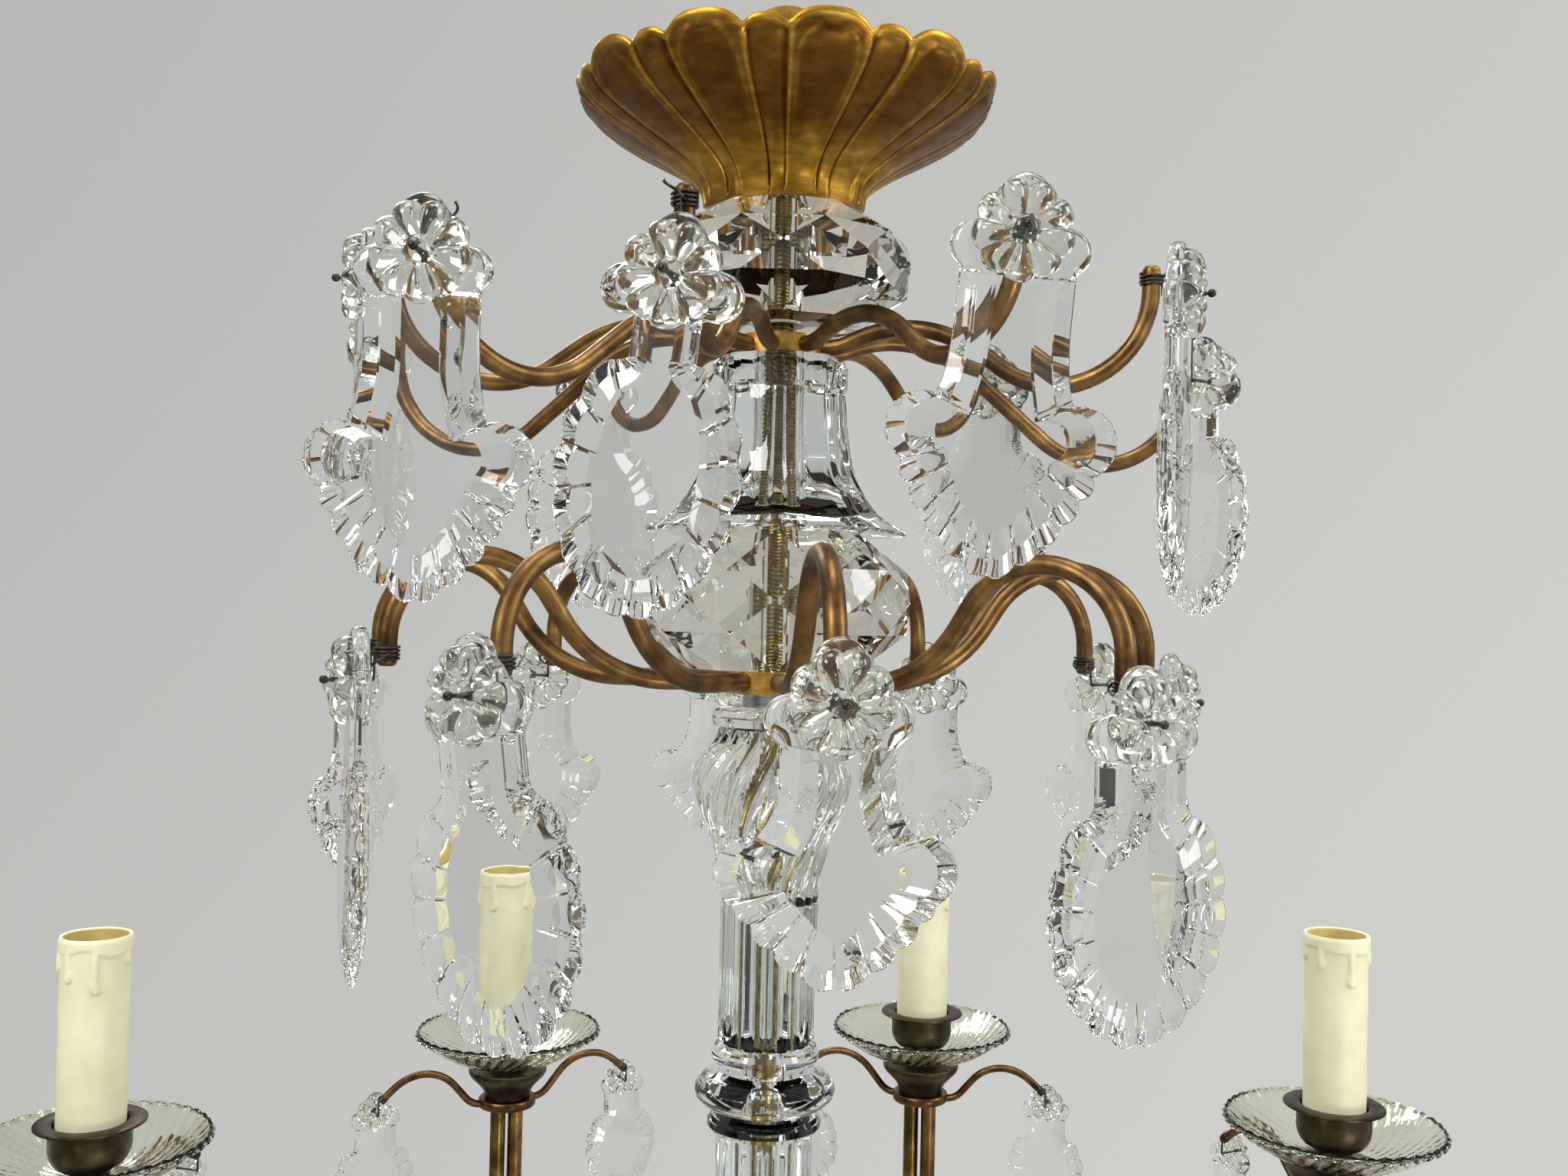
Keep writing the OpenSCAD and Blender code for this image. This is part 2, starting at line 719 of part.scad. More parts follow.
module arm_hub() {
    color("darkgoldenrod") difference() {
        above(z_arm_hub - arm_hub_h) cylinder(d = arm_hub_d, h = arm_hub_h);
        above(z_arm_hub - arm_hub_h - 1) cylinder(d = stem_bore, h = arm_hub_h + 2);
        for (k = [0 : candles - 1], side = [-1, 1]) radially(first_candle + k * 360 / candles)
            translate([socket_in, side * twin_gap / 2, z_arm_mid])
                rotate([0, 90, 0]) cylinder(d = candle_rod_d + fit, h = arm_hub_d / 2);
    }
}

module bottom_finial() {
    r = finial_h / 2;
    color("goldenrod") above(z_finial - finial_h) difference() {
        union() {
            above(finial_h - 4) cylinder(r = r + 4, h = 4);
            above(r) sphere(r = r);
        }
        above(finial_h * 0.38) cylinder(d = stem_d + fit, h = finial_h);
    }
}

// Drop hooks: a plate on top of the twin rods with a stud for the candle, and two wires

function hook_start() = [plate_d / 2 - 2, z_plate - plate_h / 2, 0];
function hook_steps() = [[1], [10, 50], [9], [20, -90], [8]];
function hook_tip() = path_at(hook_steps(), hook_start(), len(hook_steps()));

module drip_hooks() {
    stud_top = z_cup_floor + 8;
    color("saddlebrown") for (k = [0 : candles - 1]) at_candle(k) {
        above(z_plate - plate_h) cylinder(d = plate_d, h = plate_h);
        above(z_plate - 1) cylinder(d = stud_d, h = stud_top - z_plate + 1);
        for (side = [-1, 1]) rotate([0, 0, side * 90]) rod(hook_steps(), hook_start(), hook_d);
    }
}

// A cap closes each hook, and the drop's wire hangs from the cap just clear of the hook.
drop_tail = 7;
hook_cap_h = 1.6;
hook_heading = -40;
tail_out = 1.1;
function drop_pin() = [hook_d / 2, hook_tip()[0] + tail_out, hook_tip()[1] - drop_tail];

module drop_tie(side) {
    tip = hook_tip();
    pin = drop_pin();
    reach = pin[0] + pin_len * drop_scale;
    translate([0, side * (tip[0] + fit), tip[1]]) rotate([side * (hook_heading - 90), 0, 0])
        cylinder(d = hook_d + 1, h = hook_cap_h);
    translate([0, side * pin[1], pin[2]]) {
        cylinder(d = wire_d, h = drop_tail - 0.9, $fn = 24);
        sphere(d = wire_d, $fn = 24);
        rotate([0, 90, 0]) cylinder(d = pin_d * drop_scale, h = reach);
        translate([reach + 0.5, 0, 0]) sphere(r = 0.9);
    }
}

module candle_drop(k) {
    pin = drop_pin();
    at_candle(floor(k / 2)) translate([pin[0], (k % 2 == 0 ? -1 : 1) * pin[1], pin[2]])
        scale(drop_scale) translate([plaque_back, 0, 0]) crystal(styles[0]);
}

// Candles

module cup_seats() {
    color("darkslategray") for (k = [0 : candles - 1]) at_candle(k) above(z_seat)
        difference() {
            rotate_extrude() polygon([
                [0, 0], [10.5, 0], [11.5, seat_h * 0.2], [15, seat_h * 0.55],
                [seat_top_d / 2, seat_h * 0.86], [seat_top_d / 2, seat_h], [0, seat_h]
            ]);
            above(-1) cylinder(d = stud_d + fit, h = seat_h + 2);
        }
}

function bowl_radius() = (pow(bobeche_d / 2, 2) + bobeche_h * bobeche_h) / (2 * bobeche_h);

module bobeches() {
    r = bowl_radius();
    base = foot_d / 2 + 3;
    color("honeydew") for (k = [0 : candles - 1]) at_candle(k) above(z_bobeche)
        rotate_extrude($fn = 96) difference() {
            union() {
                intersection() {
                    difference() {
                        translate([0, r]) circle(r = r, $fn = 240);
                        translate([0, r]) circle(r = r - bobeche_t, $fn = 240);
                    }
                    square([bobeche_d / 2, bobeche_h]);
                }
                square([base, bobeche_t]);
            }
            translate([-1, -1]) square([stud_d / 2 + fit + 1, bobeche_h]);
            translate([-1, bobeche_t]) square([foot_d / 2 + fit + 1, bobeche_h]);
        }
}

module candle_cups() {
    mouth = sleeve_d / 2 + slack;
    color("darkslategray") for (k = [0 : candles - 1]) at_candle(k) above(z_cup)
        difference() {
            rotate_extrude() polygon([
                [0, 0], [foot_d / 2, 0], [foot_d / 2 - 1, cup_foot_h * 0.5],
                [11.5, cup_foot_h], [mouth + cup_wall, cup_foot_h + cup_floor_h],
                [mouth + cup_wall, cup_h - 1.2], [cup_flange_d / 2, cup_h - 1.2],
                [cup_flange_d / 2, cup_h], [mouth, cup_h], [mouth, cup_foot_h + cup_floor_h],
                [0, cup_foot_h + cup_floor_h]
            ]);
            above(-1) cylinder(d = stud_d + fit, h = cup_h);
        }
}

module candle_sleeves() {
    color("cornsilk") for (k = [0 : candles - 1]) at_candle(k) above(z_cup_floor)
        difference() {
            cylinder(d = sleeve_d, h = sleeve_h);
            above(-1) cylinder(d = sleeve_bore, h = sleeve_h + 2);
        }
}

module lampholders() {
    color("wheat") for (k = [0 : candles - 1]) at_candle(k) above(z_cup_floor)
        difference() {
            cylinder(d = lamp_d, h = lamp_h);
            above(lamp_h - lamp_depth) cylinder(d = lamp_bore, h = lamp_depth + 1);
            above(-1) cylinder(d = stud_d + fit, h = 10);
        }
}

suspension_eye();
stem_rod();
petal_canopy();
stem_nuts();
upper_ball();
upper_hub();
upper_arms();
bell_column();
lower_ball();
lower_hub();
lower_arms();
baluster();
glass_columns();
arm_hub();
candle_arms();
drip_hooks();
cup_seats();
bobeches();
candle_cups();
candle_sleeves();
lampholders();
bottom_ball();
bottom_finial();
pendant_ties();
for (k = [0 : len(upper_rows) - 1])
    upper_pendant(k);
for (k = [0 : len(lower_rows) - 1])
    lower_pendant(k);
for (k = [0 : 2 * candles - 1])
    candle_drop(k);
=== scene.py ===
"""Crystal chandelier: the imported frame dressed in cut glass, antique gilt and aged brass."""

import json
import random
from math import asin, atan2, cos, degrees, exp, hypot, pi, radians, sin, sqrt

import bmesh
import bpy
from mathutils import Matrix, Vector


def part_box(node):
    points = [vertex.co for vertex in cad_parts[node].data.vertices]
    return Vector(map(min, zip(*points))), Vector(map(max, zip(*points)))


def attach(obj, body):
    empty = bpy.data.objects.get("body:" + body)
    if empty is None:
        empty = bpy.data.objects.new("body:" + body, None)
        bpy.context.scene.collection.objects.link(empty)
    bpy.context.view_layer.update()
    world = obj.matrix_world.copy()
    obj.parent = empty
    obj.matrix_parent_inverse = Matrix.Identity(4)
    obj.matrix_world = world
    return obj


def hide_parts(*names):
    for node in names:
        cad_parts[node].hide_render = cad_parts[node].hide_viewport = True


MM = 0.001
TAU = 2 * pi
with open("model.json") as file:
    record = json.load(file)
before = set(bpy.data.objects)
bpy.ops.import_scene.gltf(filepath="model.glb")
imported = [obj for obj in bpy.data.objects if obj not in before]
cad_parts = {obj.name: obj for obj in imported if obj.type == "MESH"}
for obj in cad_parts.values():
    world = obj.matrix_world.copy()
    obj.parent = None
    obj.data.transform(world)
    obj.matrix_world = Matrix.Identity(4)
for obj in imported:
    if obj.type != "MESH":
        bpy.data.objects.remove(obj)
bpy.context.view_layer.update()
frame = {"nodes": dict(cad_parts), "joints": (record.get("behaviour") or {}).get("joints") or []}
joints = {j["child"]: j for j in frame["joints"]}

# Places down the stem, in millimetres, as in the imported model.
Z_CANOPY, CANOPY_H, CANOPY_R, CANOPY_BASE_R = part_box("petal_canopy")[0].z / MM, 42.0, 69.0, 27.0
Z_UPPER_BALL, UPPER_BALL_H, UPPER_BALL_R = Z_CANOPY - 36, 36.0, 43.0
Z_UPPER_HUB = Z_CANOPY - 43.9
Z_BELL, BELL_H, BELL_TOP_R, BELL_FOOT_R = Z_CANOPY - 104, 56.6, 21.5, 42.5
Z_LOWER_BALL, LOWER_BALL_H, LOWER_BALL_R = Z_CANOPY - 148, 44.0, 45.0
Z_LOWER_HUB = Z_CANOPY - 151.8
Z_BALUSTER, BALUSTER_H, BALUSTER_R, CAP_H, CAP_R = Z_CANOPY - 222.4, 55.0, 25.7, 7.2, 19.75
Z_UPPER_COLUMN, UPPER_COLUMN_H, COLUMN_R = Z_CANOPY - 268.4, 46.0, 15.5
Z_RING, RING_H, RING_R = Z_CANOPY - 296.4, 28.0, 22.7
Z_LOWER_COLUMN, LOWER_COLUMN_H = Z_CANOPY - 361, 64.6
Z_BOTTOM_BALL, BOTTOM_BALL_H, BOTTOM_BALL_R = Z_CANOPY - 446, 62.0, 38.0
STEM_BORE_R, STEM_R = 4.5, 4.0
Z_ARM_MID, Z_PLATE = Z_CANOPY - 369, Z_CANOPY - 365
CANDLES, FIRST_CANDLE, REACH = 8, 28.0, 264.0
Z_BOBECHE, BOBECHE_R, BOBECHE_H, BOBECHE_T = Z_CANOPY - 351, 44.0, 18.0, 2.6
Z_CUP, Z_SLEEVE, SLEEVE_H = Z_CANOPY - 348.4, Z_CANOPY - 334.9, 79.0
UPPER_ROD_R, LOWER_ROD_R, CANDLE_ROD_R, TWIN_HALF, HOOK_R = 2.7, 3.0, 3.6, 4.3, 1.7
BALL_RECESS_R, BALL_RECESS_H, BELL_BORE_R = 7.7, 5.0, 5.5
TIE_OFF_TIP = 4.0
PLAQUE_MID, ROSETTE_BACK, ROSETTE_FRONT, ROSETTE_R = 5.1, 7.4, 13.2, 13.4
SLEEVE_R, SLEEVE_MAX_R, SLEEVE_BORE_R, DRIP_MID_R = 12.3, 14.0, 11.3, 12.6

# Azimuth, reach, curl radius or tip below the hub, pin below the tie, pendant's turn and lean.
UPPER_ROWS = [
    (-12, 118, 28, 21, 0, -7), (33, 113, 26, 3, -34, -5), (69, 118, 28, 5, 0, 0),
    (105, 148, 34, 16, 10, 0), (141, 122, 30, 10, 0, 0), (178, 122, 30, 8, 0, 0),
    (214, 122, 30, 12, 0, 0), (250, 146, 34, 8, 0, 0), (284, 122, 30, 3, 0, 0),
    (316, 132, 32, 12, 42, 0),
]
LOWER_ROWS = [
    (7, 122, 0, 3, 0, 0), (57, 118, 1, 9, -34, 0), (88, 120, 0, 8, 0, 0),
    (119, 131, -2, 8, 0, 0), (152, 122, 2, 6, 0, 0), (189, 122, 0, 7, 0, 0),
    (224, 122, 0, 8, 0, 0), (257, 140, -14, 12, 0, 0), (290, 122, -4, 8, 0, 0),
    (325, 122, -8, 8, 0, 9),
]
# Width, length, waist, scallops, depth of their notches, side lobe radius, highest scallop's
# angle, and the power of the outline: 2 is an ellipse, less tapers to a rounded point.
SHELL = (60, 90, 30, 14, 1.7, 0, 32, 1.9)
PEAR = (48, 84, 17, 14, 1.5, 0, 40, 1.9)
SHIELD = (59, 69, 28, 8, 1.7, 8.5, -22, 1.45)
KITE = (60, 90, 30, 10, 1.8, 9.5, -20, 1.5)
UPPER_STYLE = [PEAR, KITE, SHELL, PEAR, SHELL, SHELL, SHELL, PEAR, SHELL, KITE]
LOWER_STYLE = [SHIELD, SHELL, SHELL, SHIELD, SHIELD, SHIELD, SHIELD, SHIELD, SHELL, SHELL]
DROP_SCALE = 0.62


def paint(r, g, b):
    """An sRGB colour of 0 to 255 as Blender's linear colour."""
    return tuple(
        (c / 12.92 if c <= 0.04045 else ((c + 0.055) / 1.055) ** 2.4)
        for c in (r / 255, g / 255, b / 255)
    ) + (1.0,)


def tints(rows):
    """Ramp stops from (place, red, green, blue) rows."""
    return [(at, paint(*rgb)) for at, *rgb in rows]


def smooth(t):
    c = max(0.0, min(1.0, t))
    return c * c * (3 - 2 * c)


def bump(x, width):
    return exp(-((x / width) ** 2))


def curve_through(rows, t):
    """Catmull-Rom value at t of (value, place) rows in rising place."""
    values, places = zip(*rows)
    t = max(places[0], min(places[-1], t))
    i = max(0, min(len(rows) - 2, sum(1 for p in places if p <= t) - 1))
    u = (t - places[i]) / (places[i + 1] - places[i])
    a, b = values[i], values[i + 1]
    before = values[i - 1] if i else 2 * a - b
    after = values[i + 2] if i + 2 < len(values) else 2 * b - a
    m0, m1 = (b - before) / 2, (after - a) / 2
    return (
        (2 * u**3 - 3 * u**2 + 1) * a + (u**3 - 2 * u**2 + u) * m0
        + (-2 * u**3 + 3 * u**2) * b + (u**3 - u**2) * m1
    )


def turned(angle, axis="Z"):
    return Matrix.Rotation(radians(angle), 4, axis)


def radially(azimuth):
    """Turns what is drawn along +X to an azimuth counted from the front, -Y."""
    return turned(azimuth - 90)


def candle_azimuth(k):
    return FIRST_CANDLE + k * 360 / CANDLES


def at_candle(k):
    return radially(candle_azimuth(k)) @ Matrix.Translation((REACH, 0, 0))


def in_metres(matrix):
    """The same placing with its offset in metres."""
    m = matrix.copy()
    m.translation = m.translation * MM
    return m


class Shape:
    """Vertices and faces in millimetres, gathered for one piece."""

    def __init__(self):
        self.verts, self.faces, self.values = [], [], []

    def add(self, verts, faces, placed=None, values=None):
        first = len(self.verts)
        self.verts += [placed @ Vector(v) if placed else Vector(v) for v in verts]
        self.faces += [tuple(first + i for i in f) for f in faces]
        self.values += list(values) if values else [0.0] * len(verts)
        return self

    def loft(self, rings, placed=None, loop=False, values=None):
        """Skins rings of equal length; loop joins the last to the first, else the ends close."""
        n, m = len(rings[0]), len(rings)
        faces = []
        for j in range(m if loop else m - 1):
            for i in range(n):
                a, b = j * n + i, j * n + (i + 1) % n
                c, d = (a + n) % (n * m), (b + n) % (n * m)
                faces.append((a, b, d, c))
        if not loop:
            faces.append(tuple(range(n - 1, -1, -1)))
            faces.append(tuple(range((m - 1) * n, m * n)))
        flat = [v for r in values for v in r] if values else None
        return self.add([p for r in rings for p in r], faces, placed, flat)


def mesh_of(shape, name, sharp):
    """A mesh with edges sharp from that angle on: 0 shades it flat, None leaves it smooth."""
    me = bpy.data.meshes.new(name)
    bm = bmesh.new()
    layer = bm.verts.layers.float.new("tone")
    made = []
    for v, tone in zip(shape.verts, shape.values):
        vert = bm.verts.new(v * MM)
        vert[layer] = tone
        made.append(vert)
    for f in shape.faces:
        bm.faces.new([made[i] for i in f])
    bmesh.ops.recalc_face_normals(bm, faces=bm.faces)
    for f in bm.faces:
        f.smooth = sharp != 0
    bm.to_mesh(me)
    bm.free()
    if sharp:
        me.set_sharp_from_angle(angle=radians(sharp))
    return me


def add_object(name, data):
    obj = bpy.data.objects.new(name, data)
    bpy.context.scene.collection.objects.link(obj)
    return obj


def place(me, name, material, slot, node=None, body="frame", placed=None):
    """A visible piece: its body, the CAD node whose place it takes, if any, and its slot, which
    only decides whether it casts a shadow.
    """
    obj = add_object(name, me)
    if placed is not None:
        obj.matrix_world = in_metres(placed)
    if not me.materials:
        me.materials.append(material)
    obj.visible_shadow = slot != "crystal"
    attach(obj, body)
    if node:
        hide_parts(node)


def place_shape(shape, name, sharp, material, slot, node=None):
    """A shape that is drawn in its final place on the frame."""
    place(mesh_of(shape, name, sharp), name, material, slot, node)


def set_inputs(node, values):
    for key, value in values.items():
        node.inputs[key.replace("_", " ")].default_value = value


def principled(name, **values):
    """A new material with these constants on its shader."""
    mat = bpy.data.materials.new(name)
    mat.use_nodes = True
    bsdf = mat.node_tree.nodes["Principled BSDF"]
    set_inputs(bsdf, values)
    return mat, bsdf


def add_node(tree, kind, operation=None, **values):
    node = tree.nodes.new("ShaderNode" + kind)
    if operation:
        node.operation = operation
    set_inputs(node, values)
    return node


def join(source, output, target, entry):
    source.id_data.links.new(source.outputs[output], target.inputs[entry])


def colour_ramp(tree, stops):
    ramp = add_node(tree, "ValToRGB")
    elements = ramp.color_ramp.elements
    elements[0].position, elements[0].color = stops[0]
    elements[1].position, elements[1].color = stops[-1]
    for position, colour in stops[1:-1]:
        elements.new(position).color = colour
    return ramp


def cloud(bsdf, scale, stretch, detail=6.0):
    """A noise in object space."""
    mapping = add_node(bsdf.id_data, "Mapping", Scale=stretch)
    noise = add_node(bsdf.id_data, "TexNoise", Scale=scale, Detail=detail, Roughness=0.6)
    join(add_node(bsdf.id_data, "TexCoord"), "Object", mapping, "Vector")
    join(mapping, "Vector", noise, "Vector")
    return noise


def mottle(bsdf, scale, stops, stretch=(1, 1, 1)):
    """A noise turned into colours or greys."""
    ramp = colour_ramp(bsdf.id_data, stops)
    join(cloud(bsdf, scale, stretch), "Fac", ramp, "Fac")
    return ramp


def set_colour(bsdf, scale, rows, stretch=(1, 1, 1)):
    join(mottle(bsdf, scale, tints(rows), stretch), "Color", bsdf, "Base Color")


def set_roughness(bsdf, scale, rough, span=(0.3, 0.7), stretch=(1, 1, 1)):
    """Uneven gloss between two roughnesses."""
    stops = [(at, (v, v, v, 1.0)) for at, v in zip(span, rough)]
    join(mottle(bsdf, scale, stops, stretch), "Color", bsdf, "Roughness")


def set_relief(bsdf, scale, strength, distance, stretch=(1, 1, 1), detail=6.0):
    """A fine noise as bump; the distance is in metres."""
    node = add_node(bsdf.id_data, "Bump", Strength=strength, Distance=distance)
    join(cloud(bsdf, scale, stretch, detail), "Fac", node, "Height")
    join(node, "Normal", bsdf, "Normal")


def metal(name, rows, scale, rough, stretch=(1, 1, 1)):
    """A worn metal: mottled colour, uneven gloss and a fine grain."""
    mat, bsdf = principled(name, Metallic=1.0)
    set_colour(bsdf, scale, rows, stretch)
    set_roughness(bsdf, scale * 2.3, rough, stretch=stretch)
    set_relief(bsdf, 900, 0.5, 0.00004, stretch)
    return mat


def toned_gilt(name):
    """Gilt whose recesses keep brown patina; the mesh's tone is 0 where it is worn bright, and low
    where a highlight is painted.
    """
    mat, bsdf = principled(name, Metallic=1.0)
    bright_rows = [(0.3, 158, 112, 34), (0.55, 200, 154, 58), (0.8, 236, 206, 116)]
    brown_rows = [(0.3, 64, 36, 17), (0.6, 98, 60, 26), (0.8, 134, 92, 38)]
    bright = mottle(bsdf, 130, tints(bright_rows), (1, 1, 4))
    brown = mottle(bsdf, 90, tints(brown_rows), (1, 1, 3))
    tone = add_node(bsdf.id_data, "Attribute")
    tone.attribute_name = "tone"
    mix = add_node(bsdf.id_data, "Mix")
    mix.data_type = "RGBA"
    join(tone, "Fac", mix, "Factor")
    join(bright, "Color", mix, "A")
    join(brown, "Color", mix, "B")
    join(mix, "Result", bsdf, "Base Color")
    set_roughness(bsdf, 260, (0.34, 0.52))
    set_relief(bsdf, 260, 0.35, 0.00006, (1, 1, 9))
    return mat


def glass(name, darker, lighter, rough=(0.0, 0.03)):
    """Cut glass with faint waves from polishing and a little haze in places."""
    mat, bsdf = principled(name, IOR=1.52, Transmission_Weight=1.0)
    set_colour(bsdf, 40, [(0.35, *darker), (0.65, *lighter)])
    set_roughness(bsdf, 120, rough, (0.4, 0.75))
    set_relief(bsdf, 150, 0.6, 0.00002, detail=1.0)
    return mat


def matt(name, rows, scale, rough):
    """A dull surface, mottled in colour and gloss."""
    mat, bsdf = principled(name)
    set_colour(bsdf, scale, rows)
    set_roughness(bsdf, scale * 3, rough)
    set_relief(bsdf, 700, 0.4, 0.00005)
    return mat


CRYSTAL = glass("crystal_plaque", (246, 248, 247), (252, 253, 252))
ROSETTE = glass("crystal_rosette", (236, 238, 228), (248, 249, 243), (0.03, 0.12))
BALL = glass("crystal_ball", (226, 225, 212), (238, 237, 226))
COLUMN = glass("crystal_column", (232, 238, 238), (246, 248, 247))
BALUSTER = glass("crystal_baluster", (236, 237, 229), (246, 246, 241))
DISH = glass("crystal_dish", (234, 237, 212), (245, 247, 232))
CANOPY = toned_gilt("gilt_canopy")
GILT = metal(
    "gilt_hub", [(0.3, 150, 106, 50), (0.55, 216, 170, 86), (0.8, 240, 212, 132)],
    120, (0.22, 0.4),
)
ROD = metal(
    "brass_rod",
    [(0.28, 56, 42, 30), (0.45, 98, 72, 44), (0.62, 138, 106, 62), (0.8, 184, 154, 102)],
    70, (0.32, 0.52),
)
ROD_DARK = metal(
    "brass_rod_dark", [(0.3, 52, 42, 24), (0.52, 96, 78, 40), (0.78, 160, 138, 84)],
    70, (0.18, 0.42),
)
HOOK = metal(
    "brass_hook", [(0.3, 64, 44, 30), (0.55, 108, 78, 50), (0.8, 156, 122, 84)],
    160, (0.26, 0.48),
)
BRONZE = metal(
    "bronze_dark", [(0.3, 38, 33, 24), (0.55, 66, 58, 41), (0.8, 108, 96, 68)],
    110, (0.26, 0.46),
)
STEEL = metal(
    "steel_satin", [(0.3, 132, 136, 142), (0.6, 176, 180, 186), (0.8, 208, 210, 212)],
    150, (0.2, 0.38), (1, 1, 6),
)
THREAD = metal(
    "stem_thread", [(0.3, 86, 74, 44), (0.6, 146, 130, 86), (0.8, 190, 178, 132)],
    200, (0.2, 0.4),
)
WIRE = metal(
    "wire_oxidised", [(0.3, 40, 39, 37), (0.6, 74, 72, 68), (0.8, 122, 118, 110)],
    300, (0.22, 0.45),
)
SLEEVE = matt(
    "sleeve_ivory", [(0.3, 224, 219, 180), (0.55, 236, 232, 196), (0.8, 243, 240, 210)],
    45, (0.42, 0.6),
)
SLEEVE_INSIDE = matt("sleeve_inside", [(0.3, 176, 158, 92), (0.6, 206, 190, 122)], 60, (0.5, 0.7))
HOLDER = matt("holder_amber", [(0.3, 150, 120, 52), (0.7, 186, 154, 76)], 90, (0.5, 0.7))


def repaint(node, material):
    """A CAD node that stays gets a better material in all its slots."""
    obj = frame["nodes"][node]
    if not obj.material_slots:
        obj.data.materials.append(material)
    for slot in obj.material_slots:
        slot.material = material


def polar(r, a, z):
    return (r * cos(a), r * sin(a), z)


def ring_points(r, z, n, turn=0.0):
    return [polar(r, TAU * i / n + turn, z) for i in range(n)]


def round_ring(radius_at, z, n):
    """A level ring whose radius is a function of the angle."""
    return [polar(radius_at(TAU * i / n), TAU * i / n, z) for i in range(n)]


def fold(a, count):
    """0 at the nearest of so many ridges round the axis, 1 half way between two."""
    return abs((a / TAU * count + 0.5) % 1 - 0.5) * 2


def cut_ball(node, z, h, r, material, recess=False):
    """Ten diamonds round the girdle, triangles above and below, a flat table and a bore."""
    n, step = 10, TAU / 20
    girdle, table = r, r * 0.62
    belt = girdle * cos(step)
    levels = [(table, 0.0, 1), (belt, 0.27, 0), (girdle, 0.5, 1), (belt, 0.73, 0), (table, 1.0, 1)]
    verts = []
    for radius, t, odd in levels:
        verts += ring_points(radius, z + t * h, n, odd * step)
    faces = []
    for j in range(len(levels) - 1):
        odd = levels[j][2]
        for i in range(n):
            a, b = j * n + i, j * n + (i + 1) % n
            c, d = a + n, b + n
            if odd:
                faces += [(a, b, d), (a, d, c)]
            else:
                faces += [(a, b, c), (b, d, c)]
    bore = [(STEM_BORE_R, 0.0), (STEM_BORE_R, 1.0)]
    if recess:
        t = BALL_RECESS_H / h
        bore = [(BALL_RECESS_R, 0.0), (BALL_RECESS_R, t), (STEM_BORE_R, t), (STEM_BORE_R, 1.0)]
    first = len(verts)
    m = 2 * n
    for radius, t in bore:
        verts += ring_points(radius, z + t * h, m)
    for j in range(len(bore) - 1):
        for i in range(m):
            a, b = first + j * m + i, first + j * m + (i + 1) % m
            faces.append((a, a + m, b + m, b))
    top = (len(levels) - 1) * n
    last = first + (len(bore) - 1) * m
    for i in range(n):
        j = (i + 1) % n
        ends = [2 * i + 1, (2 * i + 2) % m, (2 * i + 3) % m]
        faces.append((top + i, top + j, *(last + e for e in reversed(ends))))
        faces.append((j, i, *(first + e for e in ends)))
    place_shape(Shape().add(verts, faces), node + "_cut", 0, material, "crystal", node)


def bored(rings, bore, shape=None):
    """A solid of outer rings, bottom to top, with a round bore through it."""
    n = len(rings[0])
    z0, z1 = rings[0][0][2], rings[-1][0][2]
    loop = list(rings) + [ring_points(bore, z1, n), ring_points(bore, z0, n)]
    return (shape or Shape()).loft(loop, loop=True)


# The share of the way from the bell's neck out to its foot, at a share of its height.
BELL_ROWS = [
    (1, 0), (0.97, 0.03), (0.8, 0.06), (0.58, 0.105), (0.34, 0.22), (0.16, 0.36), (0.07, 0.53),
    (0, 0.82),
]
BELL_STEPS = (
    0.0, 0.02, 0.035, 0.05, 0.07, 0.09, 0.12, 0.16, 0.2, 0.26, 0.33, 0.41, 0.5, 0.6, 0.7, 0.78,
)


def bell():
    """The moulded bell: hollow flutes between narrow strips, and a cut band on top."""
    flutes, per = 8, 14
    n = flutes * per

    def radius(base, depth, strip=0.12):
        def at(a):
            phase = fold(a, flutes)
            hollow = 0.35 + 0.65 * (1 - ((1 - phase) / (1 - strip)) ** 2)
            return base * (1 - depth * smooth((phase - strip) / 0.1) * hollow)
        return at

    rings = [round_ring(radius(BELL_FOOT_R * 0.985, 0.055), Z_BELL, n)]
    for t in BELL_STEPS:
        share = curve_through(BELL_ROWS, t)
        line = 0.35 if t in (0.035, 0.07) else 0.0
        base = BELL_TOP_R + (BELL_FOOT_R - BELL_TOP_R) * share - line
        rings.append(round_ring(radius(base, 0.075), Z_BELL + max(t, 0.012) * BELL_H, n))
    for t, extra, depth in (
        (0.8, 0.0, 0.075), (0.812, -0.9, 0.04), (0.825, 0.2, 0.05),
        (0.84, 0.6, 0.05), (0.97, 0.6, 0.05), (1.0, -0.7, 0.05),
    ):
        rings.append(round_ring(radius(BELL_TOP_R + extra, depth, 0.2), Z_BELL + t * BELL_H, n))
    place_shape(bored(rings, BELL_BORE_R), "bell_column_cut", 24, COLUMN, "crystal", "bell_column")


# The share of the baluster's radius at a share of its height.
BALUSTER_ROWS = [
    (0.6, 0), (0.62, 0.1), (0.69, 0.24), (0.78, 0.38), (0.9, 0.52), (0.99, 0.66),
    (0.98, 0.76), (0.86, 0.87), (0.72, 0.95), (0.68, 1),
]


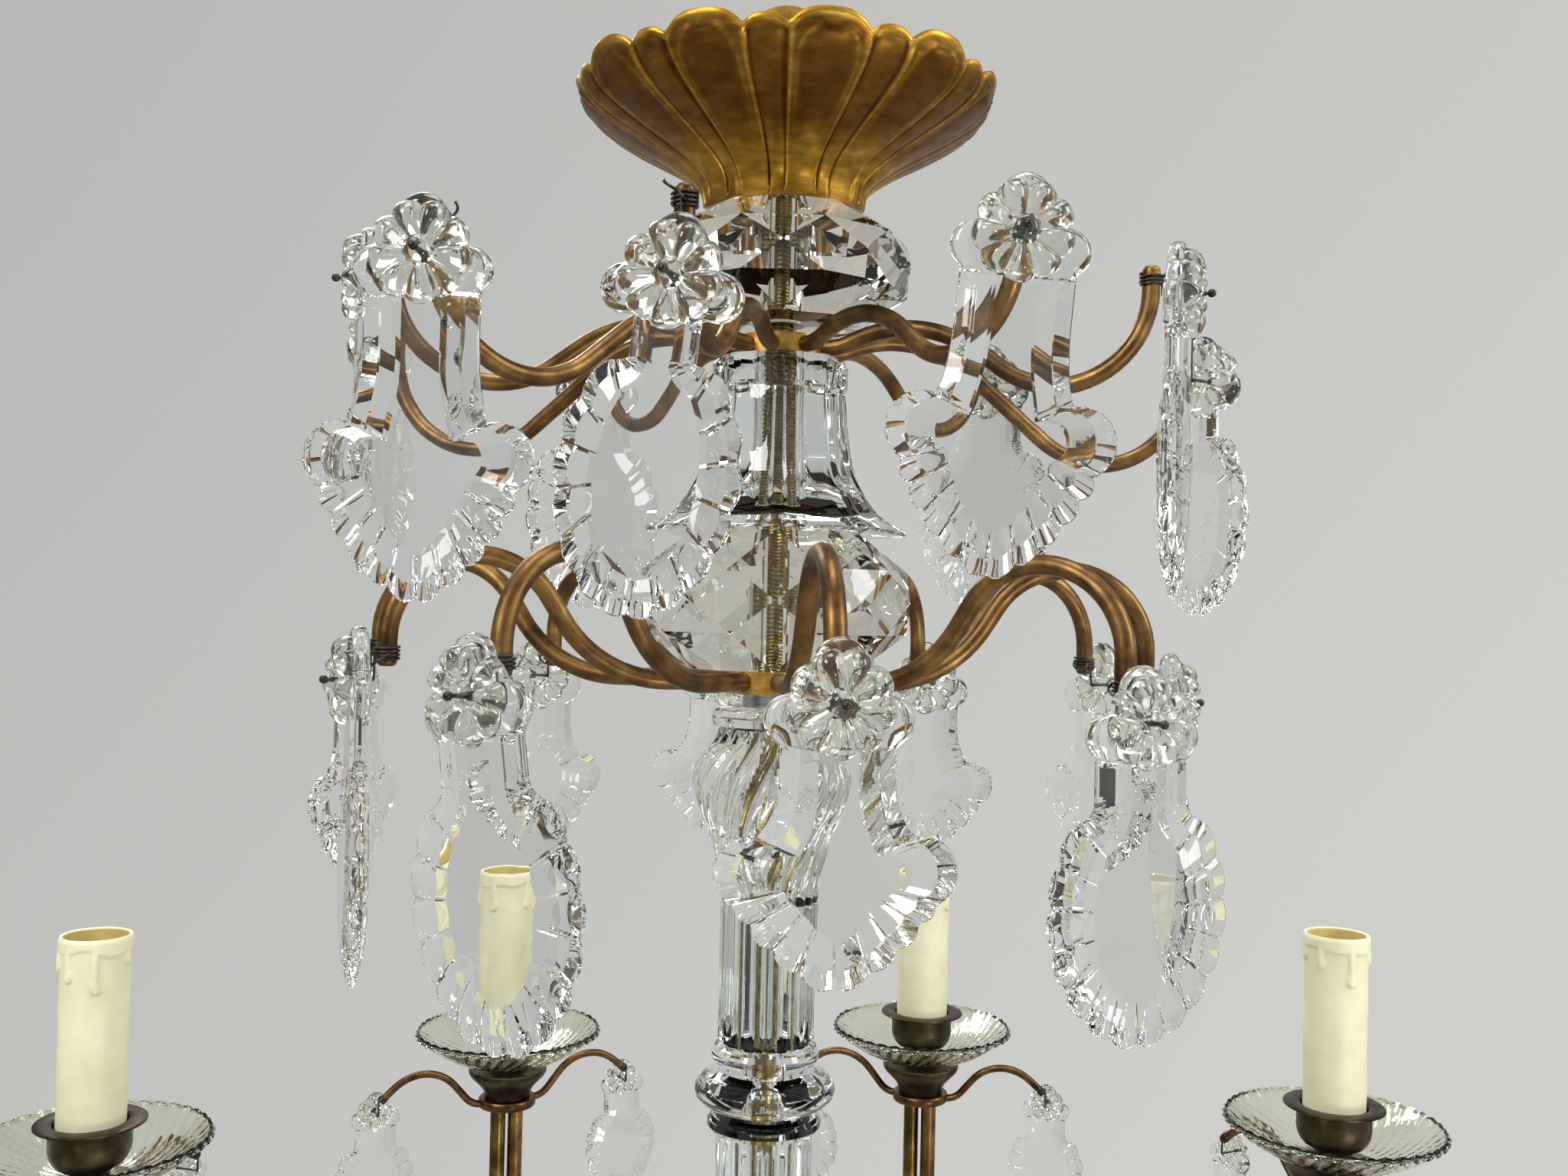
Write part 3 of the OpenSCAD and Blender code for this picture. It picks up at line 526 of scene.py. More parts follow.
def baluster():
    """The baluster with its swirling ribs and its plain cap."""
    ribs, per, twist, rows = 22, 8, radians(46), 26
    n = ribs * per

    def ring(t, depth):
        def at(a):
            phase = fold(a - twist * t, ribs)
            return share * BALUSTER_R * (1 - depth * phase * phase)
        share = curve_through(BALUSTER_ROWS, t)
        return round_ring(at, Z_BALUSTER + t * BALUSTER_H, n)

    rings = [ring(k / rows, 0.07 if 0 < k < rows else 0.03) for k in range(rows + 1)]
    top = Z_BALUSTER + BALUSTER_H
    for inset, z in ((2.4, 0.3), (0.6, 1.2), (0.0, 2.8), (0.0, 4.4), (0.7, 6.0), (2.6, CAP_H)):
        rings.append(ring_points(CAP_R - inset, top + z, n))
    place_shape(bored(rings, STEM_BORE_R), "baluster_cut", 34, BALUSTER, "crystal", "baluster")


RING_PROFILE = [
    (14.0, 0.0), (17.2, 0.4), (18.4, 2.0), (18.4, 4.0), (17.2, 5.4), (15.2, 6.2), (14.8, 7.2),
    (17.6, 8.0), (20.6, 9.4), (22.2, 11.2), (RING_R, 13.2), (22.3, 15.2), (20.8, 17.0),
    (17.8, 18.6), (14.6, 19.4), (13.6, 20.4), (14.6, 21.6), (16.6, 22.2), (17.4, 23.6),
    (17.4, 25.4), (16.4, 27.0), (14.4, RING_H),
]


def columns():
    """Both fluted columns and the turned ring between them."""
    shape = Shape()
    flutes, per, strip = 12, 8, 0.16
    n = flutes * per

    def fluted(inset, depth, z):
        def at(a):
            phase = fold(a, flutes)
            hollow = 0.0 if phase < strip else 1 - ((1 - phase) / (1 - strip)) ** 2
            return COLUMN_R - inset - depth * hollow
        return round_ring(at, z, n)

    for z, h in ((Z_UPPER_COLUMN, UPPER_COLUMN_H), (Z_LOWER_COLUMN, LOWER_COLUMN_H)):
        bored([
            fluted(0.8, 1.2, z), fluted(0, 1.9, z + 1), fluted(0, 2.2, z + 5),
            fluted(0, 2.2, z + h - 5), fluted(0, 1.9, z + h - 1), fluted(0.8, 1.2, z + h),
        ], STEM_BORE_R, shape)
    bored([ring_points(r, Z_RING + z, 72) for r, z in RING_PROFILE], STEM_BORE_R, shape)
    place_shape(shape, "glass_columns_cut", 26, COLUMN, "crystal", "glass_columns")


def canopy():
    """The pressed petals, their tone brown in the hollows, 0 on what is worn bright, and low in a
    band on the neck that is a painted highlight.
    """
    petals, first = 11, 11.0
    step = 360 / petals
    n, rows = petals * 32, 44
    drop, bulge, sheet = 0.16, 1.4, 1.6
    seam = 0.325 * step

    def tip(d):
        e = step / 2 - abs(d)
        return max(1 - drop * (abs(d) / (step * 0.37)) ** 3, 0.95 - drop * (e / (step * 0.24)) ** 3)

    def relief(d):
        s = step * 0.33
        d = abs(d)
        if d < s:
            return bulge * (1 - (d / s) ** 2)
        return bulge * (0.6 - 0.6 * ((step / 2 - d) / (step / 2 - s)) ** 2)

    def radius(u):
        flare = 0.1 * u + 0.9 * smooth((u - 0.13) / 0.74)
        return CANOPY_BASE_R - 0.4 + (CANOPY_R - bulge - CANOPY_BASE_R) * flare

    def spoon(p, t):
        """How far inside the large petal's inner outline a point is, 0 at the outline."""
        half = 0.52 + 0.28 * smooth((t - 0.22) / 0.4)
        if t > 0.7:
            half *= sqrt(max(0.0, 1 - ((t - 0.7) / 0.21) ** 2))
        return half - abs(p)

    outer, inner, tones_out, tones_in = [], [], [], []
    for j in range(rows + 1):
        t = j / rows
        ring, back, tone = [], [], []
        for i in range(n):
            a = 360 * i / n
            m = (a - first) / step
            d = (m - round(m)) * step
            u = t * tip(d)
            inside = spoon(d / seam, t) if t < 0.92 else -1.0
            line = bump(inside, 0.06) * smooth((t - 0.36) / 0.22) * (1 - smooth((t - 0.9) / 0.02))
            sunk = smooth(inside / 0.16) * smooth((t - 0.3) / 0.2)
            off = (abs(d) - seam) / step
            fade = smooth(t / 0.1) * (1 - smooth((t - 0.93) / 0.05))
            ridge = bump(off + 0.012, 0.014) * fade
            groove = bump(off - 0.024, 0.016) * fade
            rim = bump(t - 0.972, 0.028)
            r = (radius(u) + relief(d) * smooth(t * 3) - 0.75
                 + min(0.35 * line - 0.4 * sunk + 0.75 * ridge - 0.5 * groove + 0.75 * rim, 0.75))
            z = Z_CANOPY + u * CANOPY_H
            ring.append(polar(r, radians(a - 90), z))
            back.append(polar(r - sheet, radians(a - 90), z + sheet * (1 - t)))
            # Painted highlight: the tone stays low (bright gilt) in a band low on the neck, where
            # light catches the waist. It is brown over the upper bowl and browner again at the very
            # foot.
            base = 0.3 + 0.5 * smooth((t - 0.28) / 0.2) + 0.35 * smooth((0.12 - t) / 0.12)
            worn = 0.25 * line + 0.85 * ridge - 0.8 * groove + 0.95 * rim - 0.1 * sunk
            tone.append(max(0.0, min(1.0, base - worn)))
        outer.append(ring)
        inner.append(back)
        tones_out.append(tone)
        tones_in.append([0.75] * n)
    floor = outer[0][0][2]
    bore = [ring_points(STEM_BORE_R, floor + up, n, -TAU / 4) for up in (sheet, 0)]
    tones = tones_out + tones_in[::-2] + [[0.6] * n, [0.6] * n]
    shape = Shape().loft(outer + inner[::-2] + bore, loop=True, values=tones)
    place_shape(shape, "petal_canopy_cast", 50, CANOPY, "gilt", "petal_canopy")


def trace(steps, start, pace=3.0):
    """Points (x, z) and headings down a bent rod: [length] is straight, [radius, turn] bends."""
    x, z, h = start
    out = [(x, z, h)]
    for s in steps:
        if len(s) == 1:
            count = max(1, int(s[0] / (pace * 2)))
            for _ in range(count):
                x += s[0] / count * cos(radians(h))
                z += s[0] / count * sin(radians(h))
                out.append((x, z, h))
        else:
            r, turn = s
            count = max(2, int(r * radians(abs(turn)) / pace))
            g = 1 if turn > 0 else -1
            for _ in range(count):
                e = h + turn / count
                x += r * g * (sin(radians(e)) - sin(radians(h)))
                z += r * g * (cos(radians(h)) - cos(radians(e)))
                h = e
                out.append((x, z, h))
    return out


def tube(points, radius, sides=14):
    """Rings round a run of 3-D points; radius is a number or a function of (run, whole run)."""
    pts = [Vector(p) for p in points]
    count = len(pts)
    tangents = [
        (pts[min(i + 1, count - 1)] - pts[max(i - 1, 0)]).normalized() for i in range(count)
    ]
    side = tangents[0].orthogonal().normalized()
    lengths = [0.0]
    for i in range(1, count):
        lengths.append(lengths[-1] + (pts[i] - pts[i - 1]).length)
    rings = []
    for i, (p, t) in enumerate(zip(pts, tangents)):
        side = (side - t * side.dot(t)).normalized()
        other = t.cross(side)
        r = radius(lengths[i], lengths[-1]) if callable(radius) else radius
        rings.append([
            p + side * (r * cos(TAU * k / sides)) + other * (r * sin(TAU * k / sides))
            for k in range(sides)
        ])
    return rings


def rounded_end(r, tip=0.55, over=1.6):
    """A rod's radius that rounds off in its last millimetres."""
    def at(run, whole):
        left = min(1.0, (whole - run) / over)
        return r * (tip + (1 - tip) * sqrt(max(0.0, 1 - (1 - left) ** 2)))
    return at


def upper_path(row):
    """An upper rod: out over a low hump, down, and round in a curl whose tip points up."""
    reach, curl = row[1], row[2]
    start = (11.5, Z_UPPER_HUB, 0)
    bends = [[6], [15, 25], [40, -63], [0], [curl, 128]]
    end = trace(bends, start)[-1]
    bends[3] = [max(0.5, (reach - end[0]) / cos(radians(38)))]
    end = trace(bends, start)[-1]
    return trace(bends + [[max(6, Z_UPPER_HUB + 20 - end[1])]], start)


def lower_path(row):
    """A lower rod: out, up over a crest, and down to a tip near its hub's height."""
    start = (12.5, Z_LOWER_HUB, 0)
    bends = [[row[1] - 86.1 - start[0]], [40, 58], [8], [26, -148]]
    end = trace(bends, start)[-1]
    return trace(bends + [[max(8, end[1] - (start[1] - row[2]))]], start)


def upright(points):
    """A traced run as 3-D points in the plane of X and Z."""
    return [(x, 0, z) for x, z, _ in points]


def with_fine_end(points):
    """Adds points near the tip, so that it can round off."""
    (x0, z0, h), (x1, z1, _) = points[-2:]
    length = hypot(x1 - x0, z1 - z0)
    extra = [
        (x1 + (x0 - x1) * d / length, z1 + (z0 - z1) * d / length, h)
        for d in (2.4, 1.6, 1.2, 0.8, 0.4, 0.15) if d < length
    ]
    return points[:-1] + extra + points[-1:]


def rods():
    """The rods of both tiers, then the candles' twin rods."""
    for node, rows, path, r in (
        ("upper_arms", UPPER_ROWS, upper_path, UPPER_ROD_R),
        ("lower_arms", LOWER_ROWS, lower_path, LOWER_ROD_R),
    ):
        shape = Shape()
        for row in rows:
            shape.loft(tube(upright(with_fine_end(path(row))), rounded_end(r)), radially(row[0]))
        place_shape(shape, node + "_bent", 40, ROD, "aged_brass", node)
    bends = [[10.5], [12, 25], [22, -75], [126.638], [65.274, 50], [4], [65.274, 90]]
    start = (21.6, Z_ARM_MID, 0)
    end = trace(bends, start)[-1]
    path = upright(trace(bends + [[Z_PLATE - 4 - end[1]]], start))
    for side, material, name, node in (
        (-1, ROD, "candle_rods_a", "candle_arms"), (1, ROD_DARK, "candle_rods_b", None),
    ):
        shape = Shape()
        for k in range(CANDLES):
            aside = Matrix.Translation((0, side * TWIN_HALF, 0))
            shape.loft(tube(path, CANDLE_ROD_R), radially(candle_azimuth(k)) @ aside)
        place_shape(shape, name, 40, material, "aged_brass", node)


def hooks():
    """Each candle's plate and stud, and the two bent hooks that its drops hang from."""
    shape = Shape()
    start = (11.5, Z_PLATE - 2, 0)
    path = upright(with_fine_end(trace([[1], [10, 50], [9], [20, -90], [8]], start, 2.0)))
    plate = [(4.0, -4.0), (13.0, -4.0), (13.5, -3.4), (13.5, -0.6), (13.0, 0.0), (4.0, 0.0)]
    stud = [(4.75, 0), (4.75, 37.6), (4.2, 38.1)]
    for k in range(CANDLES):
        here = at_candle(k)
        shape.loft([ring_points(r, Z_PLATE + z, 40) for r, z in plate], here)
        shape.loft([ring_points(r, Z_PLATE + z, 24) for r, z in stud], here)
        for turn in (90, -90):
            shape.loft(tube(path, rounded_end(HOOK_R, 0.7), 12), here @ turned(turn))
    place_shape(shape, "drip_hooks_bent", 40, HOOK, "aged_brass", "drip_hooks")


def stem():
    """The threaded stem; inside the lower glass it is a smooth core."""
    pitch, depth, sides = 1.5, 0.75, 20
    top, mid, end = -12.1, Z_CANOPY - 164.0, Z_CANOPY - 456.8
    root = STEM_R - depth
    rings = []
    z = top
    while z > mid:
        for share, r in ((0.0, STEM_R), (0.3, STEM_R), (0.5, root), (0.75, root)):
            rings.append([
                (x, y, h - (share + i / sides) * pitch)
                for i, (x, y, h) in enumerate(ring_points(r, z, sides))
            ])
        z -= pitch
    rings.append(ring_points(STEM_R, mid - 2 * pitch, sides))
    rings.append(ring_points(STEM_R, end, sides))
    place_shape(Shape().loft(rings), "stem_threaded", 30, THREAD, "steel", "stem_rod")


def helix(r, turns, pitch, z, start):
    """A wire's winding about the stem's direction, its middle at height z."""
    per = 16
    return [
        polar(r, start + TAU * i / per, z + pitch * (i / per - turns / 2))
        for i in range(int(turns * per) + 1)
    ]


def bead(x, y, z, r, sides, tilts):
    """Rings of a small ball round the end of a pin that points along X."""
    return [
        [(x + r * sin(t), y + r * cos(t) * cos(TAU * i / sides),
          z + r * cos(t) * sin(TAU * i / sides)) for i in range(sides)]
        for t in tilts
    ]


def ties():
    """Wire wound round each rod's tip, its tail down to the pin, and its loose curled ends."""
    rng = random.Random(7)
    shape = Shape()
    for rows, path, rod_r, tip_way in (
        (UPPER_ROWS, upper_path, UPPER_ROD_R, 1), (LOWER_ROWS, lower_path, LOWER_ROD_R, -1),
    ):
        wound_r, x_tail, pin_out = rod_r + 0.5, rod_r + 0.62, rod_r + 14.4
        for row in rows:
            azimuth, turn, drop = row[0], row[4], row[3]
            tip_x, tip_z, _ = path(row)[-1]
            z_wind = tip_z - tip_way * TIE_OFF_TIP
            z_pin = z_wind - drop
            placed = radially(azimuth) @ Matrix.Translation((tip_x, 0, 0)) @ turned(turn)
            turns = rng.choice((3, 3.5, 4))
            wind = helix(wound_r, turns, 1.12, z_wind, rng.uniform(0, TAU))
            shape.loft(tube(wind, 0.45, 7), placed)
            lean = rng.uniform(-0.8, 0.8)
            tail = [
                (x_tail, lean * sin(pi * i / 8), z_wind + 0.6 - (drop + 0.6) * i / 8)
                for i in range(9)
            ]
            shape.loft(tube(tail, 0.42, 7), placed)
            shape.loft(tube([(x_tail, 0, z_pin), (pin_out, 0, z_pin)], 0.58, 10), placed)
            tilts = (-1.3, -0.8, -0.3, 0.2, 0.7, 1.2)
            shape.loft(bead(pin_out + 0.4, 0, z_pin, 1.3, 12, tilts), placed)
            for _ in range(2):
                start = rng.uniform(0, TAU)
                size = rng.uniform(2.4, 4.6)
                sweep = rng.uniform(-1.4, 1.4)
                wild = []
                for i in range(12):
                    t = i / 11
                    r = wound_r + size * 0.8 * sin(t * 2.2)
                    z = z_wind + tip_way * (size * 1.2 * t - 1.0)
                    wild.append(polar(r, start + sweep * t, z))
                shape.loft(tube(wild, 0.4, 6), placed)

    def barrel(run, whole):
        return 2.15 - 0.5 * abs(run / whole - 0.5)

    tip_y, tip_z = 60.25, Z_PLATE + 5.8
    z_pin = tip_z - 7
    pin_out = HOOK_R + 15.4 * DROP_SCALE
    tilts = (-1.3, -0.7, 0.0, 0.7, 1.3)
    for k in range(CANDLES):
        placed = at_candle(k)
        for side in (-1, 1):
            y = side * (tip_y + 1.1)
            cap = [(0, side * (tip_y - 1.6 + 0.4 * i), tip_z + 1.3 - 0.34 * i) for i in range(6)]
            drop = [(0, y, tip_z + 0.2), (0, y, tip_z - 3), (0, y, z_pin)]
            shape.loft(tube(cap, barrel, 12), placed)
            shape.loft(tube(drop, 0.45, 7), placed)
            shape.loft(tube([(0, y, z_pin), (pin_out, y, z_pin)], 0.4, 8), placed)
            shape.loft(bead(pin_out + 0.3, y, z_pin, 0.9, 10, tilts), placed)
    place_shape(shape, "tie_wires", 60, WIRE, "wire", "pendant_ties")


def ray_exit(origin, d, centre, r):
    """How far a ray from origin stays inside a circle, or 0."""
    cx, cy = centre[0] - origin[0], centre[1] - origin[1]
    along = cx * d[0] + cy * d[1]
    inside = r * r - cx * cx - cy * cy + along * along
    return max(0.0, along + sqrt(inside)) if inside > 0 else 0.0


# Circles of the trefoil's right half (centre, radius), and where the trefoil and neck meet.
TREFOIL = [((0, 0), 11), ((0, 9), 6.8), ((12, -4), 6.2)]
TREFOIL_END, NECK_TOP = -10.2, -11.0


def plaque_half(style):
    """Stations down a plaque's right side: four points from the edge inwards, their half
    thicknesses, whether a crease crosses there, and whether it is on the trefoil."""
    width, length, waist, scallops, dip, lobe, first, power = style
    v, a, b, half = -0.58 * length, width / 2, 0.42 * length, waist / 2
    out = []

    def station(p, inward, depths, heights, crease=False, trefoil=False):
        points = [(p[0] + inward[0] * d, p[1] + inward[1] * d) for d in depths]
        out.append((points, heights, crease, trefoil))

    domed, cut, groove = (0.9, 2.0, 2.8, 3.0), (0.6, 0.9, 2.55, 3.5), (0.45, 0.65, 2.0, 3.5)
    dome = (0, 0.5, 2.1, 4.8)
    phi = 0.0
    while True:
        d = (sin(radians(phi)), cos(radians(phi)))
        r = max(ray_exit((0, 0), d, c, q) for c, q in TREFOIL)
        if phi > 95 and (r * d[0] < half + 0.4 or phi > 150):
            break
        station((r * d[0], r * d[1]), (-d[0], -d[1]), dome, domed, False, True)
        phi += 5
    band = min(4.8, half * 0.31)
    neck = (0, 0.3, band, 2 * band)
    v_waist = v * 0.42
    station((half, TREFOIL_END), (-1, 0), dome, domed, True, True)
    for z in (NECK_TOP, (v_waist + NECK_TOP) / 2, v_waist):
        station((half, z), (-1, 0), neck, cut, z == NECK_TOP)

    def ell(d):
        wide = a * 0.95 if lobe else a
        return (abs(d[0] / wide) ** power + abs(d[1] / b) ** power) ** (-1 / power)

    sweep = 180 + 2 * first
    turns = [radians(first - k * sweep / (scallops - 1)) for k in range(scallops // 2)]
    places = [atan2((b - 5) * sin(w), (a - 5) * cos(w)) for w in turns]
    start = places[0] + (places[0] - places[1]) / 2
    if lobe:
        start = asin(lobe / (a - lobe)) * 0.98
        spans = [(start, -start * 0.7, True), (-start * 0.7, (places[0] + places[1]) / 2, False)]
        rest = places[1:]
    else:
        spans, rest = [], places
    begin = spans[-1][1] if spans else start
    for i, c in enumerate(rest):
        end = (c + rest[i + 1]) / 2 if i + 1 < len(rest) else -pi / 2
        spans.append((begin, end, False))
        begin = end

    def edge(ang, f, is_lobe):
        d = (cos(ang), sin(ang))
        r = 0.0 if is_lobe else ell(d) - dip * f * f
        return max(r, ray_exit((0, v), d, (a - lobe, v), lobe)) if lobe else r

    deep = (a * 0.165, a * 0.35, a * 0.08)
    r0 = edge(start, 1, bool(lobe))
    meet = (r0 * cos(start), v + r0 * sin(start))
    ctrl = (half, (v_waist + 2 * meet[1]) / 3)
    for k in range(1, 9):
        t = k / 9
        p = ((1 - t) ** 2 * half + 2 * t * (1 - t) * ctrl[0] + t * t * meet[0],
             (1 - t) ** 2 * v_waist + 2 * t * (1 - t) * ctrl[1] + t * t * meet[1])
        to_centre = Vector((-p[0], v - p[1])).normalized()
        inward = Vector((-1, 0)).lerp(to_centre, smooth(t)).normalized()
        d1, d2 = band + (deep[0] - band) * t, 2 * band + (deep[1] - 2 * band) * t
        station(p, inward, (0, 0.3, d1, d2), cut, k == 8)
    for begin, end, is_lobe in spans:
        for f in (-1, -0.88, -0.6, -0.3, 0, 0.3, 0.6, 0.88):
            ang = begin + (end - begin) * (f + 1) / 2
            r = edge(ang, f, is_lobe)
            arch = 1 - f * f
            depths = (0, 0.3, deep[0] + 0.6 * arch, deep[1] + deep[2] * arch)
            d = (cos(ang), sin(ang))
            heights = groove if f == -1 else cut
            station((r * d[0], v + r * d[1]), (-d[0], -d[1]), depths, heights, abs(f) > 0.8)
    station((0.0, v - b + dip), (0, 1), (0, 0.3, deep[0], deep[1]), groove, True)
    return out


def plaque_mesh(style, name):
    """A cut plaque: a chamfer and an inner faceted bevel round a flat panel, both sides."""
    right = plaque_half(style)
    stations = right + [([(-x, z) for x, z in points], *rest) for points, *rest in right[-2:0:-1]]
    n = len(stations)
    verts, faces = [], []
    for k, sign in ((3, 1), (2, 1), (1, 1), (0, 1), (0, -1), (1, -1), (2, -1), (3, -1)):
        verts += [(PLAQUE_MID + sign * h[k], *points[k]) for points, h, _, _ in stations]
    for j in range(7):
        for i in range(n):
            a0, b0 = j * n + i, j * n + (i + 1) % n
            faces.append((a0, b0, b0 + n, a0 + n))
    thick = [i for i, s in enumerate(stations) if not s[3]]
    i_r, i_l = thick[0], thick[-1]
    for base in (0, 7 * n):
        faces.append(tuple(base + i for i in range(i_r, i_l + 1)))
        faces.append((base + i_r - 1, base + i_r, base + i_l, base + (i_l + 1) % n))
        faces.append(tuple(base + i % n for i in range(i_l + 1, n + i_r)))
    me = mesh_of(Shape().add(verts, faces), name, None)
    for e in me.edges:
        a0, b0 = sorted(e.vertices)
        ring, i = divmod(a0, n)
        if b0 // n == ring:
            j = b0 % n
            e.use_edge_sharp = ring in (0, 7) or not (stations[i][3] and stations[j][3])
        else:
            e.use_edge_sharp = stations[i][2]
    return me


# Shares of the rosette's radius and of its height: its petals, then the bead in its middle.
PETAL_ROWS = [
    (1.0, 0.0), (1.0, 0.22), (0.95, 0.55), (0.86, 0.8), (0.72, 0.95), (0.56, 0.93), (0.42, 0.78),
    (0.31, 0.55),
]
BEAD_ROWS = [(0.27, 0.62), (0.24, 0.8), (0.17, 0.94), (0.08, 1.0)]


def rosette_mesh(name):
    """Nine long domed petals round a bead, flat behind."""
    petals, per = 9, 10
    n = petals * per
    height = ROSETTE_FRONT - ROSETTE_BACK
    rings = []
    for s, h in PETAL_ROWS:
        ring = []
        for i in range(n):
            a = TAU * i / n
            f = ((i % per) / per) * 2 - 1
            r = (ROSETTE_R - 2.3 * (1 - sqrt(1 - (0.94 * f) ** 2))) * s
            dome = (1 - abs(f) ** 2.4 * 0.62) if s < 0.99 else 1 - 0.5 * abs(f)
            ring.append((ROSETTE_BACK + height * h * dome, r * sin(a), r * cos(a)))
        rings.append(ring)
    for s, h in BEAD_ROWS:
        around = ring_points(ROSETTE_R * s, ROSETTE_BACK + height * h, n)
        rings.append([(z, y, x) for x, y, z in around])
    return mesh_of(Shape().loft(rings), name, 38)


def crystals():
    """A plaque and a rosette on each hinge, along the pin that the hinge turns about."""
    plaques = {}
    for style, label in ((SHELL, "shell"), (PEAR, "pear"), (SHIELD, "shield"), (KITE, "kite")):
        plaques[style] = plaque_mesh(style, "plaque_" + label)
    rosette = rosette_mesh("rosette_cut")

    def hang(body, style, scale=1.0, lean=0.0):
        axis = Vector(joints[body]["axis"])
        pin = Matrix.Translation(Vector(joints[body]["pos_m"]) / MM)
        azimuth = degrees(atan2(axis.x, -axis.y))
        placed = pin @ radially(azimuth) @ Matrix.Scale(scale, 4) @ turned(lean, "X")
        place(plaques[style], body + "_plaque", CRYSTAL, "crystal", body, body, placed)
        place(rosette, body + "_rosette", ROSETTE, "crystal", None, body, placed)

    for k, (style, row) in enumerate(zip(UPPER_STYLE, UPPER_ROWS)):
        hang(f"upper_pendant_{k + 1}", style, lean=row[5])
    for k, (style, row) in enumerate(zip(LOWER_STYLE, LOWER_ROWS)):
        hang(f"lower_pendant_{k + 1}", style, lean=row[5])
    for k in range(2 * CANDLES):
        hang(f"candle_drop_{k + 1}", SHELL, DROP_SCALE)


def bobeche_mesh():
    """A drip bowl: a part of a sphere with swirling ribs and a roped rim."""
    ribs, per = 40, 6
    n = ribs * per
    bowl = (BOBECHE_R**2 + BOBECHE_H**2) / (2 * BOBECHE_H)

    def depth(r):
        return bowl - sqrt(bowl * bowl - r * r)

    def ring(r, z, swirl, amount, rope=0.0):
        out = []
        for i in range(n):
            a = TAU * i / n
            crest = 1 - fold(a - swirl, ribs) ** 2
            out.append(polar(r + rope * (crest - 1), a, z + amount * (crest - 0.5)))
        return out

    rows, hole = 12, 6.0
    under, over = [], []
    for k in range(rows + 1):
        s = k / rows
        r = hole + (BOBECHE_R - 1.2 - hole) * s
        swirl = 0.55 * s
        strength = 1.25 * smooth((s - 0.12) / 0.3)
        z = depth(r)
        under.append(ring(r, z + 0.3 * strength, swirl, -0.6 * strength))
        over.append(ring(r * 0.995, z + BOBECHE_T - 0.35 * strength, swirl, 0.7 * strength))
    rim = [
        ring(BOBECHE_R - 0.35, BOBECHE_H - 1.6, 0.55, 0.3, 1.1),
        ring(BOBECHE_R, BOBECHE_H - 0.9, 0.57, 0.3, 1.3),
        ring(BOBECHE_R - 0.3, BOBECHE_H - 0.3, 0.6, 0.25, 1.3),
        ring(BOBECHE_R - 1.6, BOBECHE_H - 0.1, 0.6, 0.2, 0.6),
    ]
    return mesh_of(Shape().loft(under + rim + over[::-1], loop=True), "bobeche_swirl", 50)


def sleeve_mesh(seed):
    """A candle sleeve with a wavy lip of wax and drips that end in a drop."""
    rng = random.Random(seed)
    n, rows, count = 132, 64, 6
    drips = [
        (TAU * (i + rng.uniform(0, 0.8)) / count, rng.uniform(5, 17), rng.uniform(1.5, 2.1))
        for i in range(count)
    ]
    waves = [(rng.randint(2, 6), rng.uniform(0, TAU), rng.uniform(0.3, 0.9)) for _ in range(4)]

    def outer(a, z):
        top = SLEEVE_H - z
        edge = 5.6 + sum(w * sin(f * a + p) for f, p, w in waves)
        r = SLEEVE_R + 0.8 * smooth(edge + 0.5 - top)
        for at, length, wide in drips:
            off = abs((a - at + pi) % TAU - pi) * DRIP_MID_R
            end = edge + length
            w = wide * (0.85 + 0.4 * bump(top - end + 2.2, 2.2))
            if top > end - w:
                w *= sqrt(max(0.0, 1 - ((top - end + w) / w) ** 2))
            if off < w:
                bead_r = 1.25 * sqrt(1 - (off / w) ** 2) * min(1.0, 0.6 + top / 20)
                r = max(r, SLEEVE_R + bead_r)
        r -= 0.55 * smooth((1.3 - top) / 1.3)
        r += 0.08 * sin(3 * a + z * 0.21) + 0.05 * sin(7 * a - z * 0.13)
        return min(r, SLEEVE_MAX_R)

    below = SLEEVE_H * 0.55
    heights = [0.0, 0.6] + [below * k / 6 for k in range(1, 7)]
    heights += [below + (SLEEVE_H - below) * k / rows for k in range(1, rows + 1)]
    rings = [round_ring(lambda a: outer(a, z), z, n) for z in heights]
    for r, z in (
        (SLEEVE_BORE_R + 0.7, SLEEVE_H), (SLEEVE_BORE_R + 0.2, SLEEVE_H - 0.3),
        (SLEEVE_BORE_R, SLEEVE_H - 1.0), (SLEEVE_BORE_R, 40), (SLEEVE_BORE_R, 0.0),
    ):
        rings.append(ring_points(r, z, n))
    me = mesh_of(Shape().loft(rings, loop=True), f"sleeve_drips_{seed}", 45)
    me.materials.append(SLEEVE)
    me.materials.append(SLEEVE_INSIDE)
    for poly in me.polygons:
        if hypot(poly.center.x, poly.center.y) < (SLEEVE_BORE_R + 0.3) * MM:
            poly.material_index = 1
    return me


SEAT_PROFILE = [
    (4.9, 0.0), (10.2, 0.0), (10.7, 0.5), (10.9, 2.2), (12.2, 5.0), (14.4, 7.4), (17.2, 10.2),
    (18.2, 11.6), (18.5, 12.4), (18.5, 13.5), (18.1, 14.0), (4.9, 14.0),
]
CUP_PROFILE = [
    (4.9, 0.0), (7.8, 0.0), (8.0, 0.6), (7.3, 2.2), (7.3, 4.0), (8.6, 5.2), (11.6, 6.8),
    (13.2, 8.6), (14.3, 11.0), (14.7, 13.6), (14.7, 20.6), (15.2, 21.5), (19.2, 21.9),
    (19.9, 22.2), (19.9, 22.7), (19.4, 23.0), (14.0, 23.0), (13.3, 22.6), (13.3, 13.5),
    (4.9, 13.5),
]


def lathe_mesh(name, profile):
    """A closed profile of (radius, height) turned round the axis."""
    return mesh_of(Shape().loft([ring_points(r, z, 64) for r, z in profile], loop=True), name, 32)


